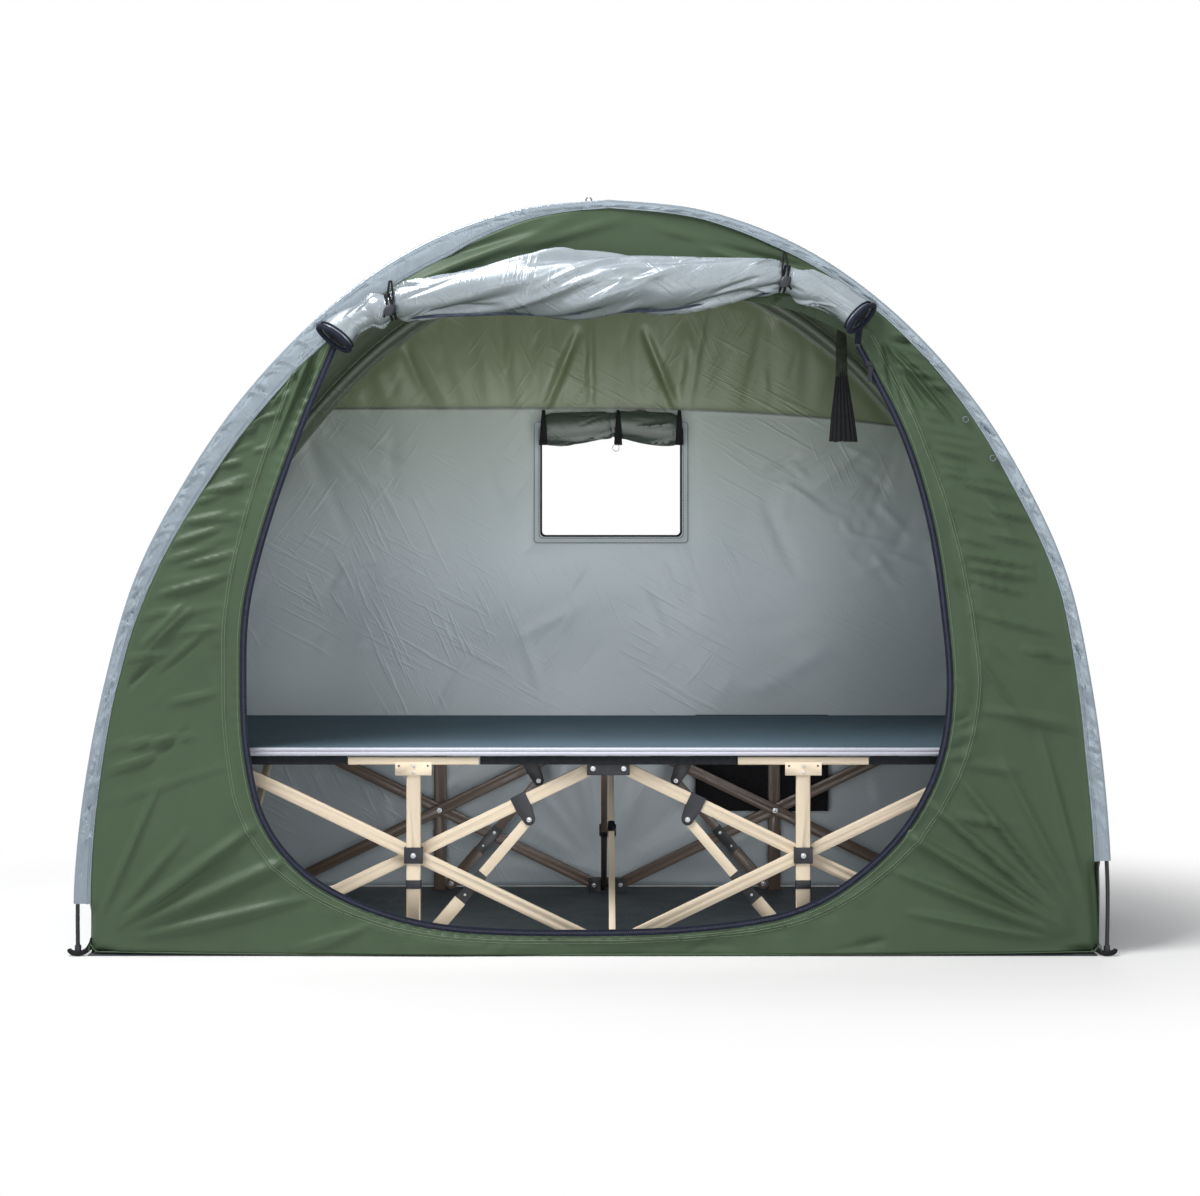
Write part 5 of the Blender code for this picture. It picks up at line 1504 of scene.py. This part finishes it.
def metalwork():
    """Tubes, plates and mouldings in their finishes: the near row and rising cross bars beige, the far row
    and falling cross bars a darker copy of it as painted shade.
    """
    for face, _ in FACES:
        paint = "beige" if face == "near" else "beige_painted_shade"
        for side, _ in SIDES:
            name = f"{face}_{side}_"
            dressed(name + "leg", (paint, "plastic", "steel"), leg_region)
            dressed(name + "outer_strut", (paint, "plastic"), strut_region)
            for part in ("rising_bar", "falling_bar", "inner_strut"):
                dressed(name + part, (paint,))
            for part in ("hub", "clevis", "top_bracket", "bottom_bracket"):
                dressed(name + part, ("plastic",), width=0.0012)
        for level in ("top", "bottom"):
            dressed(f"{face}_centre_{level}_bracket", ("plastic",), width=0.0014)
    for place in ("left", "centre", "right"):
        # The falling bars take the darker copy of the beige coat: painted shade.
        for way, paint in (("rising", "beige"), ("falling", "beige_painted_shade")):
            dressed(f"{place}_{way}_cross_bar", (paint, "plastic"), cross_region)


def crossing_sleeves():
    """Black sleeves over the cross bars where they pass each other."""
    half = 0.021
    slope = atan2(HIGH_PIVOT - LOW_PIVOT, 2 * BAR_HALF_SPAN)
    for place, node in (("left", -NODE), ("centre", 0), ("right", NODE)):
        for way, hand, rise in (("rising", 1, 1), ("falling", -1, -1)):
            x = COT_SHIFT + node + hand * 0.0085
            rings = []
            for along in (-half, -half + 0.001, half - 0.001, half):
                grow = 0.0 if abs(along) > half - 0.0005 else 0.0008
                y = MIDDLE + along * cos(slope)
                z = HUB_LEVEL + rise * along * sin(slope)
                rings.append([(x + a, y - rise * b * sin(slope), z + b * cos(slope))
                              for a, b in rounded_profile(0.0155 + grow, 0.0245 + grow, 0.004, 3)])
            lofted(f"{place}_{way}_crossing_sleeve", rings, BODY_OF[f"{place}_{way}_cross_bar"], "plastic")


def pins():
    """Rivets and screws, gathered by the body that they ride on and the way that they face."""
    groups = {}

    def add(node, u, v, z, side, face, outside, radius, finish="steel"):
        """One rivet. outside is 1 on the row's outer side and -1 on its inner one."""
        way = face * outside
        key = (BODY_OF[node], way, radius, finish)
        groups.setdefault(key, []).append(spot(u, v, z, side, face))

    for face_name, face in FACES:
        for level, z in (("top", HIGH_PIVOT), ("bottom", LOW_PIVOT)):
            for side in (-1, 1):
                bracket = f"{face_name}_centre_{level}_bracket"
                add(bracket, BRACKET_PIVOT, 0.4134, z, side, face, 1, 0.0058)
                add(bracket, BRACKET_PIVOT, 0.376, z, side, face, -1, 0.0056)
        for side_name, side in SIDES:
            name = f"{face_name}_{side_name}_"
            add(name + "hub", HUB, 0.4256, HUB_LEVEL, side, face, 1, 0.006)
            add(name + "hub", HUB, 0.3772, HUB_LEVEL, side, face, -1, 0.0066)
            for z in (0.3988, 0.3848):
                add(name + "leg", HUB, 0.4254, z, side, face, 1, 0.0034)
            for shift in (-0.031, 0.031):
                add(name + "leg", HUB + shift, 0.4241, 0.3985, side, face, 1, 0.0022, "plastic")
            add(name + "leg", STRUT_FOOT[0], 0.376, STRUT_FOOT[1], side, face, -1, 0.0066)
            for v, way in ((0.3959, 1), (0.3751, -1)):
                add(name + "clevis", 0.171, v, 0.2794, side, face, way, 0.0058)
            for level, z in (("top", HIGH_PIVOT), ("bottom", LOW_PIVOT)):
                add(name + level + "_bracket", NODE - BRACKET_PIVOT, 0.4134, z, side, face, 1, 0.0058)
            for along, radius in ((0.165, 0.0042), (0.122, 0.003)):
                u, z = (f + w * along for f, w in zip(STRUT_FOOT, STRUT_WAY))
                for v, way in ((0.3923, 1), (0.3787, -1)):
                    add(name + "outer_strut", u, v, z, side, face, way, radius)
    for (body, way, radius, finish), spots in groups.items():
        name = f"{body}_pins_{'back' if way > 0 else 'front'}_{round(radius * 10000)}"
        repeated(name, "rivets", [spots], body, finish, Radius=radius, Height=radius * 0.3,
                 Turn=(-way * pi / 2, 0.0, 0.0))


def bed_half(word, face):
    """Half of the bed's cloth, from its edge to the middle, with a bead along three sides."""
    edge, reach = BED_EDGE, BED_HALF_LENGTH
    margin = 0.03
    edge_radius = 0.012
    near_edge = margin * np.sin(np.linspace(0.05, 1, 14) * pi / 2)
    near_end = margin * np.sin(np.linspace(0.05, 1, 12) * pi / 2)
    vs = np.concatenate((np.linspace(0, edge - margin, 40), edge - margin + near_edge))
    us = np.concatenate((-reach + margin - near_end[::-1], np.linspace(-reach + margin, reach - margin, 150),
                         reach - margin + near_end))
    grid_u, grid_v = np.meshgrid(us, vs, indexing="ij")
    inside = np.minimum(reach - np.abs(grid_u), edge - np.abs(grid_v))
    hollow = np.cos(pi / 2 * grid_u / reach).clip(0, 1) ** 0.5 * np.cos(pi / 2 * grid_v / edge)
    rim = 1 - ease(inside, 0.0, margin)
    rounding = np.sqrt(np.clip(1 - ((edge_radius - inside).clip(0, edge_radius) / edge_radius) ** 2, 0, 1))
    creases = Folds(81)
    creases.scatter((-0.9, 0.9, 0.0, 0.4), 60, 0.2, 0.012, 0.0016, 90, 50)
    top = BED_LOW + 0.019 - 0.012 * hollow + 0.004 * rim * rounding - 0.011 * (1 - rounding)
    top = top + creases.height(grid_u, grid_v) * ease(inside, 0.02, 0.08) * ease(grid_v, 0.0, 0.06)
    low = BED_LOW + 0.014 - 0.012 * hollow - 0.0135 * rim * rounding - 0.003 * (1 - rounding)
    upper, lower = (np.stack((COT_SHIFT + grid_u, face * grid_v + MIDDLE, level), -1) for level in (top, low))
    made = piece(f"{word}_bed_half", *two_sided(upper, lower), f"{word}_centre_top", "bed")
    outward(made.data)
    made.data.set_sharp_from_angle(angle=radians(60))
    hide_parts("bed_cloth")
    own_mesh(made)


def bed_trim(word, face):
    """White double piping along the long edge, and the black hem below it between the legs' plates."""
    body = f"{word}_centre_top"
    for k, rise in enumerate((0.0155, 0.0068)):
        xs = np.linspace(-BED_HALF_LENGTH + 0.004, BED_HALF_LENGTH - 0.004, 220)
        path = [(COT_SHIFT + x, face * (BED_EDGE + 0.0005) + MIDDLE, BED_LOW + rise) for x in xs]
        piping = tube(f"{word}_bed_piping_{k + 1}", path, 0.0044, body, "piping", 10, flat=0.55)
        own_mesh(piping)
    plate = 0.143
    end = BED_HALF_LENGTH - 0.001
    low = BED_LOW - 0.0175
    stretches = ((-end, -HUB - plate), (-HUB + plate, HUB - plate), (HUB + plate, end))
    for k, (start, finish) in enumerate(stretches):
        rings = []
        for x in np.linspace(start, finish, 60):
            rings.append([(COT_SHIFT + x, face * (0.4166 + b) + MIDDLE, low + 0.009 + a)
                          for a, b in rounded_profile(0.018, 0.0036, 0.0012, 2)])
        strip = lofted(f"{word}_bed_hem_{k + 1}", rings, body, "hem")
        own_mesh(strip)


def pouch():
    """The dark pouch that hangs on the far side, a little full."""
    left, right, low, high = 0.222, 0.555, 0.198, 0.44
    grid_u, grid_z = np.meshgrid(np.linspace(left, right, 60), np.linspace(low, high, 44), indexing="ij")
    off_u = np.abs(grid_u - (left + right) / 2) / ((right - left) / 2)
    off_z = np.abs(grid_z - (low + high) / 2) / ((high - low) / 2)
    edge = np.minimum(1 - off_u, 1 - off_z)
    folds = Folds(91)
    folds.scatter((left, right, low, high), 26, 0.12, 0.008, 0.003, 80, 40)
    fullness = np.sqrt(edge.clip(0, 1)) * 0.014 + folds.height(grid_u, grid_z) * ease(edge, 0, 0.2)
    flat_side = np.stack((COT_SHIFT + grid_u, np.full_like(grid_u, 0.4272 + MIDDLE), grid_z), -1)
    full_side = flat_side.copy()
    full_side[..., 1] += 0.001 + fullness
    made = piece("pouch_bag", *two_sided(flat_side, full_side), "far_right_leg", "strap")
    outward(made.data)
    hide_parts("storage_pouch")


def cot():
    """All pieces of the cot."""
    for word, face in FACES:
        bed_half(word, face)
        bed_trim(word, face)
    pouch()
    metalwork()
    crossing_sleeves()
    pins()


def finish_solids():
    """The zip's slider and pull keep their solids and get their metal."""
    for name in ("zip_slider", "zip_pull"):
        node = frame["nodes"][name]
        node.data.materials.clear()
        node.data.materials.append(MATERIALS["dark_steel"])


# Stage

SKY = 0.12
# Each lamp's name, place, aim, size and power
LAMPS = (
    ("key", (-1.9, -2.4, 4.7), (0, 0, 0.7), 2.0, 290),
    ("fill", (2.4, -4.8, 1.7), (0, 0, 0.6), 3.6, 26),
    ("front", (0.0, -5.2, 0.8), (0, 0.4, 0.6), 1.8, 20),
    ("inside", (0.0, -0.3, 0.95), (0, 0.5, 0.62), 1.0, 4.2),
    ("under_bed_left", (-0.34, -0.2, 0.28), (-0.3, 0.5, 0.16), 0.2, 1.0),
    ("under_bed_right", (0.4, -0.2, 0.28), (0.36, 0.5, 0.16), 0.2, 1.0),
    ("rear", (0.6, 4.6, 2.6), (0, 0, 0.8), 3.0, 120),
)


def studio_floor():
    """A pale floor that keeps the tent's shadow near it and turns to plain white further off."""
    made = Finish("studio_floor", 0.9)
    made.set("Base Color", (0.9, 0.9, 0.9, 1))
    made.set("Specular IOR Level", 0.0)
    stretch = 2.6
    shadow_end, white_start = 0.62, 1.5
    away = (made.x * made.x / stretch + (made.y - MIDDLE) * (made.y - MIDDLE)) ** 0.5
    share = made.shared(away, shadow_end, white_start) * made.seen_directly()
    white = made.add("Emission", None, {"Color": (1, 1, 1, 1), "Strength": 1.0})
    mixed = made.add("MixShader", None, {0: share, 1: Wire(made, made.shader.outputs[0]), 2: white})
    made.feed(made.tree.nodes["Material Output"].inputs["Surface"], mixed)
    return made.material


def stage():
    """The floor, a white sky that lights things only dimly, and the lamps."""
    floor = bpy.data.meshes.new("floor")
    reach, low = 60, -0.0005
    corners = [(x * reach, y * reach, low) for x, y in ((-1, -1), (1, -1), (1, 1), (-1, 1))]
    floor.from_pydata(corners, [], [(0, 1, 2, 3)])
    floor.materials.append(studio_floor())
    linked("studio_floor", floor)
    world = bpy.data.worlds.new("studio")
    bpy.context.scene.world = world
    world.use_nodes = True
    graph = Graph(world.node_tree)
    sky = world.node_tree.nodes["Background"]
    sky.inputs["Color"].default_value = (1, 1, 1, 1)
    graph.feed(sky.inputs["Strength"], graph.seen_directly() * (1 - SKY) + SKY)
    for name, place, aim, size, power in LAMPS:
        light = bpy.data.lights.new(name, "AREA")
        light.size = size
        light.energy = power
        lamp = linked(name, light)
        lamp.location = place
        lamp.visible_camera = False
        lamp.rotation_euler = (Vector(aim) - Vector(place)).to_track_quat("-Z", "Y").to_euler()


CAMERA_PLACE = (0.016, FRONT - 4.9, 0.9045)


def camera():
    """A level camera in front of the doorway, as in the photo."""
    data = bpy.data.cameras.new("camera")
    data.sensor_width = 36
    data.lens = 69.24
    data.shift_y = -0.0567
    made = linked("camera", data)
    made.location = CAMERA_PLACE
    made.rotation_euler = (pi / 2, 0, 0)
    bpy.context.scene.camera = made


camera()
tent()
cot()
finish_solids()
stage()
bpy.context.scene.view_settings.view_transform = "Standard"
bpy.context.view_layer.update()
